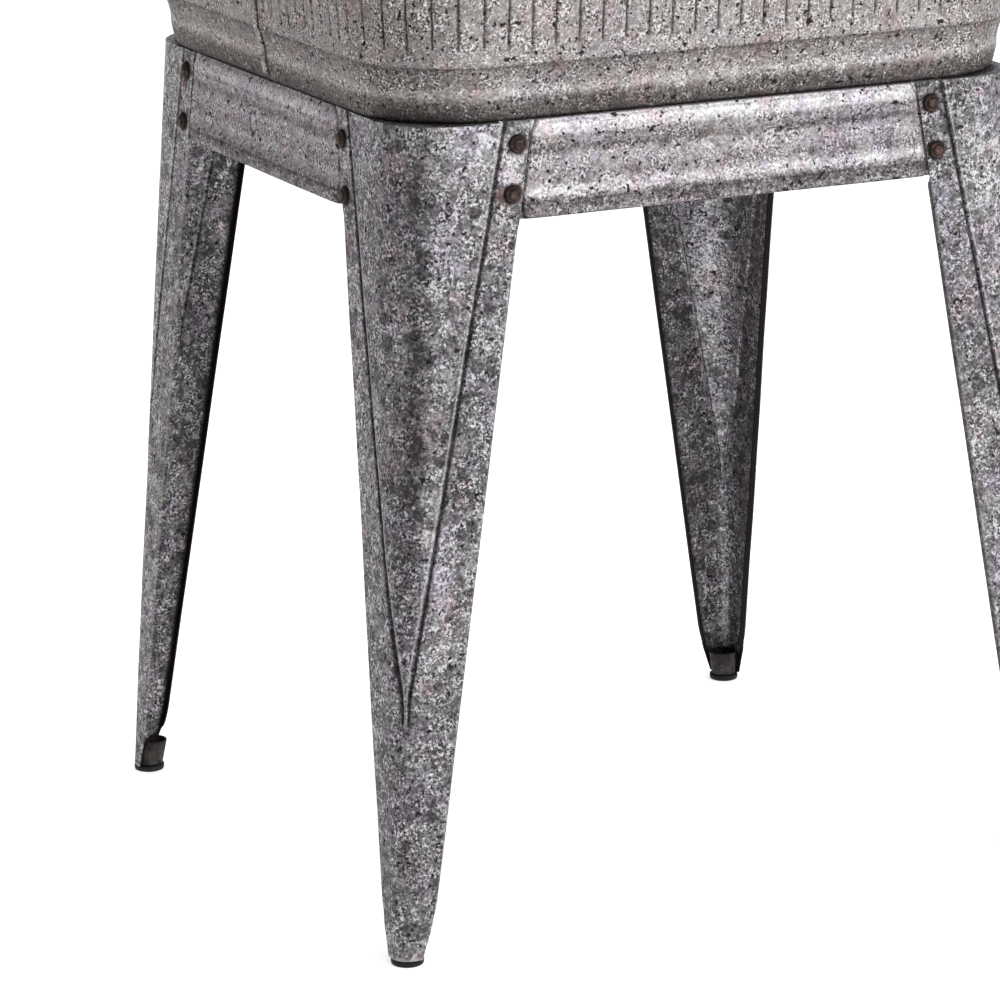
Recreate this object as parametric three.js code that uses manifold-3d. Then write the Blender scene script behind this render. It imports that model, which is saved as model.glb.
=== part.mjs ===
// A raised planter: a galvanised wash tub that sits in a four-legged stand of pressed sheet steel.
// Millimetres, +Z up. The origin is on the floor under the middle of the stand, +X runs along the front
// rail to the right and +Y runs to the back.
import * as THREE from 'three';
import { mergeVertices } from 'three/addons/utils/BufferGeometryUtils.js';
import Module from 'manifold-3d';

const wasm = await Module();
wasm.setup();

// ---- Driving dimensions -------------------------------------------------------------------------------

const FIT_GAP = 0.35; // between touching pieces

// Stand
const STAND_HEIGHT = 600; // floor to rail top
const STAND_SHEET = 1.6; // leg and rail sheet
const TOP_HALF = { x: 252.5, y: 238.5 }; // leg corner at the top, from the middle of the stand
const FLOOR_HALF = { x: 277, y: 261 }; // leg corner at the floor
const WING_TOP = { narrow: 97.5, wide: 114 }; // leg wing, corner to edge, at the top
const WING_FLOOR = 25; // the same at the floor, before the tip is cut in
const WING_TIP = 19; // the same at the very tip
const CORNER_RADIUS_TOP = 50; // rounded leg corner at the top
const CORNER_RADIUS_FLOOR = 12.5; // and at the tip
const TIP_HEIGHT = 5; // leg tip above the floor
const WRAP_HEIGHT = 50; // where the leg starts to close round its foot
const LIP_FOOT = 27; // lower end of the folded edges
const CREASE_TOP = { narrow: 77, wide: 96 }; // pressed groove, from the corner, at the top
const CREASE_APEX = 181; // height where the two grooves meet
const CREASE_HALF_WIDTH = 2;
const CREASE_DEPTH = 1.8;
const LIP_DEPTH = 6; // edge of a leg, folded inwards
const RAIL_HEIGHT = 69;
const RAIL_BEAD = 3; // how far the rail beads stand proud
const RAIL_LEDGE = 20; // inward ledge that the tub stands on, also in the leg corners
const RAIL_RETURN = 6; // inward fold at the bottom of a rail
const RAIL_CHAMFER = { x: 3, y: 7 }; // slanted corners of the rail ends, by rail direction
const RIVET_SHANK = 2.9; // radius
const RIVET_HEAD = 6.8; // radius
// Width of each leg's wings: along the front or back, and along the side.
const WINGS = {
  front_left: { x: 'narrow', y: 'wide' },
  front_right: { x: 'narrow', y: 'wide' },
  back_left: { x: 'narrow', y: 'narrow' },
  back_right: { x: 'narrow', y: 'wide' },
};
// Rivets by rail direction and leg wing: below the rail top, and off the wing's middle towards its edge.
const RIVETS = {
  x: {
    narrow: [
      [15.5, 0.5],
      [50.5, 2.2],
    ],
  },
  y: {
    wide: [
      [21, 2],
      [60.5, 3.5],
    ],
    narrow: [
      [16, -2],
      [56, 0],
    ],
  },
};
const PLUG_HEIGHT = 20;
const GLIDE_RADIUS = 12;
const FOOT_SIDES = 16;

// Tub
const TUB_SHEET = 1.2;
const TUB_HALF = { x: 251, y: 234 }; // foot of the tub
const TUB_CORNER = 72; // plan radius of its corners at the foot
const TUB_DEPTH = 260; // foot to rim
const TUB_FLARE = 0.0875; // outward per millimetre of height
const PAN_EDGE = 12; // height of the pan's standing edge
const PAN_INSET = 0.6; // pan inside the foot outline
const FLOOR_LIFT = 2.2; // underside of the pan above the foot of the wall
const RIM_RADIUS = 4.6; // rolled rim
const DRAIN_RADIUS = 7;
const DRAIN_SPREAD = { x: 120, y: 110 }; // four outer drain holes, from the middle
const SEAM_LAP = 8; // lock seam strip on the short sides

// Handles
const HANDLE_ROD = 3.5; // radius
const HANDLE_HALF = 46; // half the distance between the arms
const HANDLE_DROP = 62;
const HANDLE_HEIGHT = 190; // pivot above the foot of the tub
const PIVOT_OUT = 9; // pivot out from the wall
const EAR_SPACING = 58; // ears either side of the middle
const EAR_LENGTH = 14;
const EAR_RIVET_SHANK = 2;
const EAR_RIVET_HEAD = 3.8;
const EAR_RIVET_SPREAD = 13; // above and below the pivot
const EAR_SHEET = 1.6;

// ---- Finishes -----------------------------------------------------------------------------------------

function finish(color, roughness, metalness) {
  return new THREE.MeshStandardMaterial({ color, roughness, metalness });
}

const legSteel = finish(0x85837f, 0.45, 0.85);
const railSteel = finish(0x9a9691, 0.45, 0.85);
const tubSteel = finish(0x8e8a85, 0.55, 0.8);
const plugSteel = finish(0x4d4a48, 0.6, 0.7);
const rivetSteel = finish(0x4a3b36, 0.7, 0.5);
const handleSteel = finish(0x777570, 0.5, 0.85);
const blackPlastic = finish(0x141414, 0.55, 0);

// ---- Small helpers ------------------------------------------------------------------------------------

const SIDES = [-1, 1];
const EAR_RIVET_PLACES = SIDES.map((up) => up * EAR_RIVET_SPREAD);
const mix = (from, to, part) => from + (to - from) * part;
const clamp = THREE.MathUtils.clamp;

function geometryOf(positions, index) {
  const geometry = new THREE.BufferGeometry();
  geometry.setAttribute('position', new THREE.Float32BufferAttribute(positions, 3));
  geometry.setIndex(index);
  return geometry;
}

function signedVolume(positions, index) {
  const corners = [new THREE.Vector3(), new THREE.Vector3(), new THREE.Vector3()];
  let volume = 0;
  for (let k = 0; k < index.length; k += 3) {
    corners.forEach((corner, c) => corner.fromArray(positions, index[k + c] * 3));
    volume += corners[0].dot(corners[1].clone().cross(corners[2])) / 6;
  }
  return volume;
}

// A closed solid through rings that all have the same number of points. A ring goes out along one side of
// the section and back along the other, so point i faces the i-th point from its end, and each end cap is a
// strip between the two sides. A looped loft joins its last ring to its first and has no caps.
function loft(rings, looped = false) {
  const count = rings[0].length;
  const positions = rings.flat(2);
  const index = [];
  const spans = looped ? rings.length : rings.length - 1;
  for (let j = 0; j < spans; j++) {
    const near = j * count;
    const far = ((j + 1) % rings.length) * count;
    for (let i = 0; i < count; i++) {
      const next = (i + 1) % count;
      index.push(near + i, far + i, far + next, near + i, far + next, near + next);
    }
  }
  if (!looped) {
    const last = (rings.length - 1) * count;
    for (let i = 0; i < count / 2 - 1; i++) {
      const facing = count - 1 - i;
      index.push(i, i + 1, facing - 1, i, facing - 1, facing);
      index.push(last + i, last + facing - 1, last + i + 1, last + i, last + facing, last + facing - 1);
    }
  }
  if (signedVolume(positions, index) < 0) {
    index.reverse();
  }
  return geometryOf(positions, index);
}

function toSolid(geometry) {
  const bare = geometry.clone();
  bare.deleteAttribute('normal');
  bare.deleteAttribute('uv');
  const merged = mergeVertices(bare, 1e-4);
  const vertProperties = new Float32Array(merged.attributes.position.array);
  const triVerts = new Uint32Array(merged.index.array);
  return new wasm.Manifold(new wasm.Mesh({ numProp: 3, vertProperties, triVerts }));
}

function toGeometry(solid) {
  const mesh = solid.getMesh();
  return geometryOf(Array.from(mesh.vertProperties), Array.from(mesh.triVerts));
}

// Joins the extra pieces to a base and then cuts the tools out of it.
function build(base, joined, cut = []) {
  let solid = toSolid(base);
  joined.forEach((piece) => {
    solid = solid.add(toSolid(piece));
  });
  cut.forEach((tool) => {
    solid = solid.subtract(toSolid(tool));
  });
  return toGeometry(solid);
}

// Moves an open polyline sideways, to the right of its direction, with mitred corners.
function offsetPath(path, distance) {
  const normals = path.slice(1).map(([a, b], i) => {
    const length = Math.hypot(a - path[i][0], b - path[i][1]);
    return [(b - path[i][1]) / length, (path[i][0] - a) / length];
  });
  return path.map(([a, b], i) => {
    const before = normals[Math.max(i - 1, 0)];
    const after = normals[Math.min(i, normals.length - 1)];
    const spread = 1 + before[0] * after[0] + before[1] * after[1];
    const step = distance / spread;
    return [a + step * (before[0] + after[0]), b + step * (before[1] + after[1])];
  });
}

function mesh(name, geometry, material) {
  const piece = new THREE.Mesh(geometry, material);
  piece.name = name;
  return piece;
}

// A cylinder along Y from one place to another, for holes.
function drill(radius, x, z, from, to, sides = 12) {
  const tool = new THREE.CylinderGeometry(radius, radius, to - from, sides);
  return tool.translate(x, (from + to) / 2, z);
}

// ---- Legs ---------------------------------------------------------------------------------------------
// A leg is worked out in its own corner: u runs inwards along the front or back of the stand, v inwards
// along its side, both from the sharp corner that the rounded one replaces. Places along the bent sheet are
// distances s from the middle of the corner, negative on the side wing and positive on the front wing.

const share = (z) => z / STAND_HEIGHT;
const cornerAt = (z, axis) => mix(FLOOR_HALF[axis], TOP_HALF[axis], share(z));
const radiusAt = (z) => mix(CORNER_RADIUS_FLOOR, CORNER_RADIUS_TOP, share(z));
const centreAt = (z, axis) => cornerAt(z, axis) - radiusAt(z);
const centreLean = (axis) => (centreAt(0, axis) - centreAt(STAND_HEIGHT, axis)) / STAND_HEIGHT;
const bendLength = (width, radius) => width - radius * (1 - Math.PI / 4);

function wingAt(z, wing) {
  const width = mix(WING_FLOOR, WING_TOP[wing], share(z));
  const wrap = clamp((WRAP_HEIGHT - z) / (WRAP_HEIGHT - TIP_HEIGHT), 0, 1);
  return mix(width, WING_TIP, wrap * wrap);
}

function creaseAt(z, wing) {
  const top = bendLength(CREASE_TOP[wing], CORNER_RADIUS_TOP);
  const closed = CREASE_HALF_WIDTH + 0.1;
  return Math.max((top * (z - CREASE_APEX)) / (STAND_HEIGHT - CREASE_APEX), closed);
}

// Crease distance from the sharp corner, where the crease is on the flat of the wing.
const creaseWidthAt = (z, wing) => creaseAt(z, wing) + radiusAt(z) * (1 - Math.PI / 4);

function facePoint(z, s, depth) {
  const radius = radiusAt(z);
  const halfArc = (radius * Math.PI) / 4;
  const turn = Math.PI / 4 + clamp(s, -halfArc, halfArc) / radius;
  const reach = radius - depth;
  const u = radius - reach * Math.cos(turn) + Math.max(s - halfArc, 0);
  const v = radius - reach * Math.sin(turn) + Math.max(-s - halfArc, 0);
  return [u, v];
}

// The places across the sheet at one height, as [s, depth] pairs: wing, groove, corner panel, groove, wing.
function legStations(z, wings) {
  const wingSteps = 4;
  const panelSteps = 10;
  const fade = clamp((z - CREASE_APEX + 10) / 10, 0, 1);
  const stations = (wing) => {
    const edge = bendLength(wingAt(z, wing), radiusAt(z));
    const groove = creaseAt(z, wing);
    const flat = groove + CREASE_HALF_WIDTH;
    const places = [];
    for (let k = 0; k <= wingSteps; k++) {
      places.push([mix(edge, flat, k / wingSteps), 0]);
    }
    places.push([groove, CREASE_DEPTH * fade]);
    places.push([groove - CREASE_HALF_WIDTH, 0]);
    return places;
  };
  const side = stations(wings.y).map(([s, depth]) => [-s, depth]);
  const front = stations(wings.x).reverse();
  const panel = [];
  for (let k = 1; k < panelSteps; k++) {
    panel.push([mix(side.at(-1)[0], front[0][0], k / panelSteps), 0]);
  }
  return [...side, ...panel, ...front];
}

function cornerPoint(z, u, v, sign) {
  return [sign.x * (cornerAt(z, 'x') - u), sign.y * (cornerAt(z, 'y') - v), z];
}

function legSheet(sign, wings) {
  const upper = [STAND_HEIGHT, 420, 300, 220, CREASE_APEX];
  const lower = [CREASE_APEX - 10, 100, WRAP_HEIGHT, 36, 20, TIP_HEIGHT];
  return loft(
    [...upper, ...lower].map((z) => {
      const stations = legStations(z, wings);
      const outer = stations.map(([s, depth]) => facePoint(z, s, depth));
      const inner = stations.map(([s, depth]) => facePoint(z, s, depth + STAND_SHEET)).reverse();
      return [...outer, ...inner].map(([u, v]) => cornerPoint(z, u, v, sign));
    }),
  );
}

// The folded edge of a wing, from just under the rail to just above the foot.
function legLip(sign, axis, wing) {
  const heights = [STAND_HEIGHT - RAIL_HEIGHT - 5, WRAP_HEIGHT, 38, LIP_FOOT];
  return loft(
    heights.map((z) => {
      const edge = wingAt(z, wing);
      const section = [
        [edge, 0.4],
        [edge, LIP_DEPTH],
        [edge - STAND_SHEET, LIP_DEPTH],
        [edge - STAND_SHEET, 0.4],
      ];
      return section.map(([along, across]) =>
        axis === 'x' ? cornerPoint(z, along, across, sign) : cornerPoint(z, across, along, sign),
      );
    }),
  );
}

// The ledge folded inwards at the top of a leg's corner, between the ledges of its two rails.
function legLedge(sign, wings) {
  const steps = 12;
  const ends = { x: creaseAt(STAND_HEIGHT, wings.x) - 2, y: creaseAt(STAND_HEIGHT, wings.y) - 2 };
  const rings = [];
  for (let k = 0; k <= steps; k++) {
    const s = mix(-ends.y, ends.x, k / steps);
    const edges = [0.8, RAIL_LEDGE].map((depth) => facePoint(STAND_HEIGHT, s, depth));
    const top = edges.map(([u, v]) => cornerPoint(STAND_HEIGHT, u, v, sign));
    const bottom = edges.map(([u, v]) => cornerPoint(STAND_HEIGHT, u, v, sign)).reverse();
    bottom.forEach((point) => {
      point[2] -= STAND_SHEET;
    });
    rings.push([...top, ...bottom]);
  }
  return loft(rings);
}

// ---- Rails --------------------------------------------------------------------------------------------
// A rail is made in a frame of its own: x along it, outward along -Y, z down from the rail top. Its face
// leans out with the legs. Each end is set back by one sheet so that it slips behind the leg's wing.

function railLean(axis) {
  const across = axis === 'x' ? 'y' : 'x';
  return (FLOOR_HALF[across] - TOP_HALF[across]) / STAND_HEIGHT;
}

// Distances from the middle of the rail to the edge and the groove of the leg wing over its end.
function wingPlaces(axis, wing) {
  const edgeAt = (drop) => cornerAt(STAND_HEIGHT - drop, axis) - wingAt(STAND_HEIGHT - drop, wing);
  const grooveAt = (drop) => {
    const z = STAND_HEIGHT - drop;
    return cornerAt(z, axis) - creaseWidthAt(z, wing) - CREASE_HALF_WIDTH;
  };
  return { edgeAt, grooveAt };
}

// Rail section from the ledge to the bottom fold, as [out, drop, swell]: swell says how much of the beads'
// height is added.
const RAIL_SECTION = [
  [-RAIL_LEDGE, 0, 0],
  [-1.2, 0, 0],
  [-0.2, 1.2, 0.2],
  [0, 5, 0.7],
  [0, 10, 1],
  [0, 15, 0.9],
  [0, 20.5, 0.25],
  [0, 24, 0],
  [0, 48, 0],
  [0, 54.5, 0.85],
  [0, 60, 0.95],
  [0, RAIL_HEIGHT - 2, 0.5],
  [-1, RAIL_HEIGHT, 0.3],
  [-1 - RAIL_RETURN, RAIL_HEIGHT, 0.3],
];

function railEnd(axis, wing, side) {
  const { edgeAt, grooveAt } = wingPlaces(axis, wing);
  const setBack = STAND_SHEET + FIT_GAP;
  const slant = (drop) => RAIL_CHAMFER[axis] * clamp(1 - Math.min(drop, RAIL_HEIGHT - drop) / 9, 0, 1);
  const jogAt = (drop) => edgeAt(drop) - 0.8 - slant(drop);
  return [
    { at: (drop) => side * (grooveAt(drop) - 1), back: setBack, bead: 0 },
    { at: (drop) => side * jogAt(drop), back: setBack, bead: 0 },
    { at: (drop) => side * (jogAt(drop) - 2), back: 0, bead: 0.1 },
    { at: (drop) => side * (jogAt(drop) - 9), back: 0, bead: 0.8 },
    { at: (drop) => side * (jogAt(drop) - 18), back: 0, bead: 1 },
  ];
}

function railSheet(axis, plusWing, minusWing) {
  const stations = [...railEnd(axis, plusWing, 1), ...railEnd(axis, minusWing, -1).reverse()];
  return loft(
    stations.map(({ at, back, bead }) => {
      const swollen = ([out, drop, swell]) => [out - back + swell * bead * RAIL_BEAD, -drop];
      const outer = RAIL_SECTION.map(swollen);
      const inner = offsetPath(outer, STAND_SHEET).reverse();
      return [...outer, ...inner].map(([out, z], i) => {
        const column = Math.min(i, 2 * RAIL_SECTION.length - 1 - i);
        return railPoint(axis, at(RAIL_SECTION[column][1]), out, z);
      });
    }),
  );
}

function railPoint(axis, x, out, z) {
  return [x, -(out - z * railLean(axis)), z];
}

// Rivet places along a rail end, [x, drop] with x positive.
function railRivets(axis, wing) {
  const { edgeAt, grooveAt } = wingPlaces(axis, wing);
  return RIVETS[axis][wing].map(([drop, shift]) => [(edgeAt(drop) + grooveAt(drop)) / 2 - shift, drop]);
}

function rail(name, axis, plusWing, minusWing) {
  const plusEnd = railRivets(axis, plusWing);
  const minusEnd = railRivets(axis, minusWing).map(([x, drop]) => [-x, drop]);
  const holes = [...plusEnd, ...minusEnd].map(([x, drop]) =>
    drill(RIVET_SHANK + FIT_GAP, x, -drop, -10, 10),
  );
  return mesh(name, build(railSheet(axis, plusWing, minusWing), [], holes), railSteel);
}

// ---- Rivets, foot plugs and glides --------------------------------------------------------------------

// A rivet about +Y with its domed head at -Y: the sheets lie between y = 0 and y = grip.
function rivetGeometry(shank, head, grip, sides) {
  const domeHeight = head * 0.55;
  const domeSteps = 2;
  const profile = [new THREE.Vector2(0, -FIT_GAP - domeHeight)];
  for (let k = 1; k <= domeSteps; k++) {
    const angle = (k / domeSteps) * (Math.PI / 2);
    profile.push(new THREE.Vector2(head * Math.sin(angle), -FIT_GAP - domeHeight * Math.cos(angle)));
  }
  profile.push(new THREE.Vector2(shank, -FIT_GAP));
  profile.push(new THREE.Vector2(shank, grip + FIT_GAP));
  profile.push(new THREE.Vector2(shank * 1.6, grip + FIT_GAP));
  profile.push(new THREE.Vector2(0, grip + FIT_GAP + shank * 0.6));
  return new THREE.LatheGeometry(profile, sides);
}

function railRivet(name, axis, x, drop) {
  const lean = railLean(axis);
  const grip = 2 * STAND_SHEET + FIT_GAP;
  const rivet = mesh(name, rivetGeometry(RIVET_SHANK, RIVET_HEAD, grip, 10), rivetSteel);
  rivet.position.set(x, -drop * lean, -drop);
  rivet.rotation.x = -Math.atan(lean);
  return rivet;
}

// A closed piece turned about Z, through [radius, height] points.
function turned(points) {
  const profile = points.map(([r, z]) => new THREE.Vector2(r, z));
  return new THREE.LatheGeometry(profile, FOOT_SIDES).rotateX(Math.PI / 2);
}

// A pressed steel cup inside the tip of the leg, open at the top, with a hole for the glide's stem.
// It leans and widens with the leg.
function footPlug(sign) {
  const outerAt = (z) => radiusAt(z) - STAND_SHEET - 1.1;
  const top = TIP_HEIGHT + PLUG_HEIGHT;
  const stemHole = 4.9;
  const wall = 1.6;
  const points = [
    [stemHole, TIP_HEIGHT],
    [outerAt(TIP_HEIGHT) - 1, TIP_HEIGHT],
    [outerAt(TIP_HEIGHT + 1), TIP_HEIGHT + 1],
    [outerAt(top), top],
    [outerAt(top) - wall, top],
    [outerAt(TIP_HEIGHT + 2) - wall - 0.2, TIP_HEIGHT + 2],
    [stemHole, TIP_HEIGHT + 2],
    [stemHole, TIP_HEIGHT],
  ];
  const lean = { x: -sign.x * centreLean('x'), y: -sign.y * centreLean('y') };
  return turned(points).applyMatrix4(new THREE.Matrix4().makeShear(0, 0, 0, 0, lean.x, lean.y));
}

function glide() {
  const top = TIP_HEIGHT - FIT_GAP;
  const stem = 3.5;
  const points = [
    [0, 0],
    [GLIDE_RADIUS - 1.2, 0],
    [GLIDE_RADIUS, 1.4],
    [GLIDE_RADIUS, top - 0.6],
    [GLIDE_RADIUS - 0.6, top],
    [stem, top],
    [stem, TIP_HEIGHT + 8],
    [0, TIP_HEIGHT + 9],
  ];
  return turned(points);
}

// ---- Tub ----------------------------------------------------------------------------------------------
// The tub's plan is a rounded rectangle. A station is a point of it with its outward direction, and a
// section is drawn as [out, up] from the foot of the tub.

function cornerStations(signX, signY, from, steps) {
  const stations = [];
  for (let k = 0; k <= steps; k++) {
    const angle = from + ((k / steps) * Math.PI) / 2;
    const out = [Math.cos(angle), Math.sin(angle)];
    const centre = [signX * (TUB_HALF.x - TUB_CORNER), signY * (TUB_HALF.y - TUB_CORNER)];
    stations.push({ at: [centre[0] + TUB_CORNER * out[0], centre[1] + TUB_CORNER * out[1]], out });
  }
  return stations;
}

// Front half, from the left seam round the front to the right seam.
function halfStations(steps) {
  const seam = FIT_GAP / 2;
  return [
    { at: [-TUB_HALF.x, -seam], out: [-1, 0] },
    ...cornerStations(-1, -1, Math.PI, steps),
    ...cornerStations(1, -1, 1.5 * Math.PI, steps),
    { at: [TUB_HALF.x, -seam], out: [1, 0] },
  ];
}

const tubPoint = ({ at, out }, [e, h]) => [at[0] + out[0] * e, at[1] + out[1] * e, STAND_HEIGHT + h];

// How far the outside of the wall stands out from the foot, by height above it: turned in at the very foot,
// then two swept steps up to the straight flare.
const WALL_FOOT = [
  [-0.6, FIT_GAP],
  [1.3, 1.4],
  [2.7, 5.5],
  [4, 11],
  [4.7, 17],
  [5.7, 26],
  [9.8, 40],
  [11.6, 55],
];

function wallOut(h) {
  const next = WALL_FOOT.findIndex(([, up]) => up > h);
  if (next < 0) {
    const [out, up] = WALL_FOOT.at(-1);
    return out + TUB_FLARE * (h - up);
  }
  const [out, up] = WALL_FOOT[next - 1];
  return mix(out, WALL_FOOT[next][0], (h - up) / (WALL_FOOT[next][1] - up));
}

const RIM_CENTRE = TUB_DEPTH - RIM_RADIUS;
const RIM_OUT = wallOut(RIM_CENTRE) - TUB_SHEET + RIM_RADIUS;

// The wall's section: its inside from the pan up and round the rolled rim, and back along its outside.
function wallSection() {
  const straightEnd = RIM_CENTRE - 3;
  const inside = offsetPath([...WALL_FOOT, [wallOut(straightEnd), straightEnd]], -TUB_SHEET);
  const rollSteps = 8;
  const rollTurn = 1.6 * Math.PI;
  const roll = [];
  for (let k = 0; k <= rollSteps; k++) {
    const angle = Math.PI - (k / rollSteps) * rollTurn;
    roll.push([RIM_OUT + RIM_RADIUS * Math.cos(angle), RIM_CENTRE + RIM_RADIUS * Math.sin(angle)]);
  }
  const path = [...inside, ...roll];
  return [...path, ...offsetPath(path, TUB_SHEET).reverse()];
}

// The lock seam at the right-hand end of a half: a strip joined to its own wall and laid over the other's.
function seamStrip() {
  const lift = FIT_GAP + TUB_SHEET;
  const footHeights = WALL_FOOT.map(([, up]) => up).filter((up) => up > 5);
  const heights = [...footHeights, RIM_CENTRE - RIM_RADIUS - 3];
  const stops = [
    [-SEAM_LAP / 2, -TUB_SHEET / 2],
    [-FIT_GAP / 2, -TUB_SHEET / 2],
    [FIT_GAP / 2 - 0.1, FIT_GAP],
    [SEAM_LAP, FIT_GAP],
  ];
  return loft(
    heights.map((h) => {
      const face = TUB_HALF.x + wallOut(h);
      const outer = stops.map(([y]) => [face + lift, y, STAND_HEIGHT + h]);
      const inner = stops.map(([y, out]) => [face + out, y, STAND_HEIGHT + h]);
      return [...outer, ...inner.reverse()];
    }),
  );
}

function tubWallHalf() {
  const section = wallSection();
  const rings = halfStations(7).map((station) => section.map((point) => tubPoint(station, point)));
  const holes = SIDES.flatMap((side) =>
    EAR_RIVET_PLACES.map((up) =>
      drill(EAR_RIVET_SHANK + FIT_GAP, -side * EAR_SPACING, up, -10, 10, 10).applyMatrix4(handleFrame(side)),
    ),
  );
  return build(loft(rings), [seamStrip()], holes);
}

function roundedRectangle(inset) {
  const shape = new THREE.Shape();
  const radius = TUB_CORNER - inset;
  const x = TUB_HALF.x - TUB_CORNER;
  const y = TUB_HALF.y - TUB_CORNER;
  shape.absarc(x, y, radius, 0, Math.PI / 2);
  shape.absarc(-x, y, radius, Math.PI / 2, Math.PI);
  shape.absarc(-x, -y, radius, Math.PI, 1.5 * Math.PI);
  shape.absarc(x, -y, radius, 1.5 * Math.PI, 2 * Math.PI);
  return shape;
}

// The bottom pan: a floor with drain holes, and an edge that stands up inside the foot of the wall.
function tubPan() {
  const edgeSheet = 2;
  const curveSegments = 4;
  const floorShape = roundedRectangle(PAN_INSET + edgeSheet / 2);
  const outerDrains = SIDES.flatMap((i) => SIDES.map((j) => [i * DRAIN_SPREAD.x, j * DRAIN_SPREAD.y]));
  [[0, 0], ...outerDrains].forEach(([x, y]) => {
    floorShape.holes.push(new THREE.Path().absarc(x, y, DRAIN_RADIUS, 0, 2 * Math.PI));
  });
  const flat = { bevelEnabled: false, curveSegments };
  const floor = new THREE.ExtrudeGeometry(floorShape, { depth: TUB_SHEET, ...flat });
  const edgeShape = roundedRectangle(PAN_INSET);
  edgeShape.holes.push(new THREE.Path(roundedRectangle(PAN_INSET + edgeSheet).getPoints(curveSegments)));
  const edge = new THREE.ExtrudeGeometry(edgeShape, { depth: PAN_EDGE, ...flat });
  return build(edge, [floor]).translate(0, 0, STAND_HEIGHT + FIT_GAP + FLOOR_LIFT);
}

// The wire inside the rolled rim, all the way round.
function rimWire() {
  const radius = RIM_RADIUS - TUB_SHEET - FIT_GAP;
  const sides = 8;
  const circle = Array.from({ length: sides }, (_, k) => (k / sides) * 2 * Math.PI);
  const quarters = [[1, 1], [-1, 1], [-1, -1], [1, -1]];
  const stations = quarters.flatMap(([i, j], k) => cornerStations(i, j, (k * Math.PI) / 2, 7));
  const section = circle.map((a) => [RIM_OUT + radius * Math.cos(a), RIM_CENTRE + radius * Math.sin(a)]);
  const rings = stations.map((station) => section.map((point) => tubPoint(station, point)));
  return loft(rings, true);
}

// ---- Handles ------------------------------------------------------------------------------------------
// Each set is made in a frame on the outside of a short wall, at the pivot height and leaning with it: x
// along the wall, outward along -Y, z up it.

const LEAN = Math.atan(TUB_FLARE);

function handleFrame(side) {
  const turn = new THREE.Matrix4().makeRotationZ((side * Math.PI) / 2);
  const tilt = new THREE.Matrix4().makeRotationX(LEAN);
  const face = side * (TUB_HALF.x + wallOut(HANDLE_HEIGHT));
  const place = new THREE.Matrix4().makeTranslation(face, 0, STAND_HEIGHT + HANDLE_HEIGHT);
  return place.multiply(turn).multiply(tilt);
}

// A riveted plate with a barrel that the handle's pin turns in.
function ear() {
  const barrelRadius = 7;
  const plate = new THREE.BoxGeometry(EAR_LENGTH + 8, EAR_SHEET, 2 * EAR_RIVET_SPREAD + 12);
  plate.translate(0, -FIT_GAP - EAR_SHEET / 2, 0);
  const barrel = new THREE.CylinderGeometry(barrelRadius, barrelRadius, EAR_LENGTH, 20);
  barrel.rotateZ(Math.PI / 2).translate(0, -PIVOT_OUT, 0);
  const webDepth = PIVOT_OUT - 1 - FIT_GAP;
  const web = new THREE.BoxGeometry(EAR_LENGTH, webDepth, 2 * barrelRadius - 2);
  web.translate(0, -webDepth / 2 - FIT_GAP - EAR_SHEET / 2, 0);
  const bore = new THREE.CylinderGeometry(HANDLE_ROD + 0.4, HANDLE_ROD + 0.4, EAR_LENGTH + 4, 20);
  bore.rotateZ(Math.PI / 2).translate(0, -PIVOT_OUT, 0);
  const holes = EAR_RIVET_PLACES.map((up) => drill(EAR_RIVET_SHANK + FIT_GAP, 0, up, -6, 6, 10));
  return build(plate, [barrel, web], [bore, ...holes]);
}

// A bent rod about its own pivot line: pins outwards through the ears, arms down, and a grip between them.
function handleRod() {
  const pinEnd = EAR_SPACING + EAR_LENGTH / 2 + 3;
  const pinBend = 5;
  const gripBend = 12;
  const bendSteps = 4;
  const sides = 10;
  const arc = (x, z, radius, from, turn) =>
    Array.from({ length: bendSteps + 1 }, (_, k) => {
      const angle = from + (k / bendSteps) * turn;
      return [x + radius * Math.cos(angle), z + radius * Math.sin(angle)];
    });
  const half = [
    [pinEnd, 0],
    ...arc(HANDLE_HALF + pinBend, -pinBend, pinBend, Math.PI / 2, Math.PI / 2),
    ...arc(HANDLE_HALF - gripBend, gripBend - HANDLE_DROP, gripBend, 0, -Math.PI / 2),
  ];
  const path = [...half, ...half.map(([x, z]) => [-x, z]).reverse()];
  const circle = Array.from({ length: sides }, (_, k) => (k / sides) * 2 * Math.PI);
  return loft(
    path.map(([x, z], i) => {
      const before = path[Math.max(i - 1, 0)];
      const after = path[Math.min(i + 1, path.length - 1)];
      const length = Math.hypot(after[0] - before[0], after[1] - before[1]);
      const across = [(before[1] - after[1]) / length, (after[0] - before[0]) / length];
      return circle.map((a) => {
        const reach = HANDLE_ROD * Math.cos(a);
        return [x + reach * across[0], HANDLE_ROD * Math.sin(a), z + reach * across[1]];
      });
    }),
  );
}

// ---- Assembly -----------------------------------------------------------------------------------------

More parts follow.
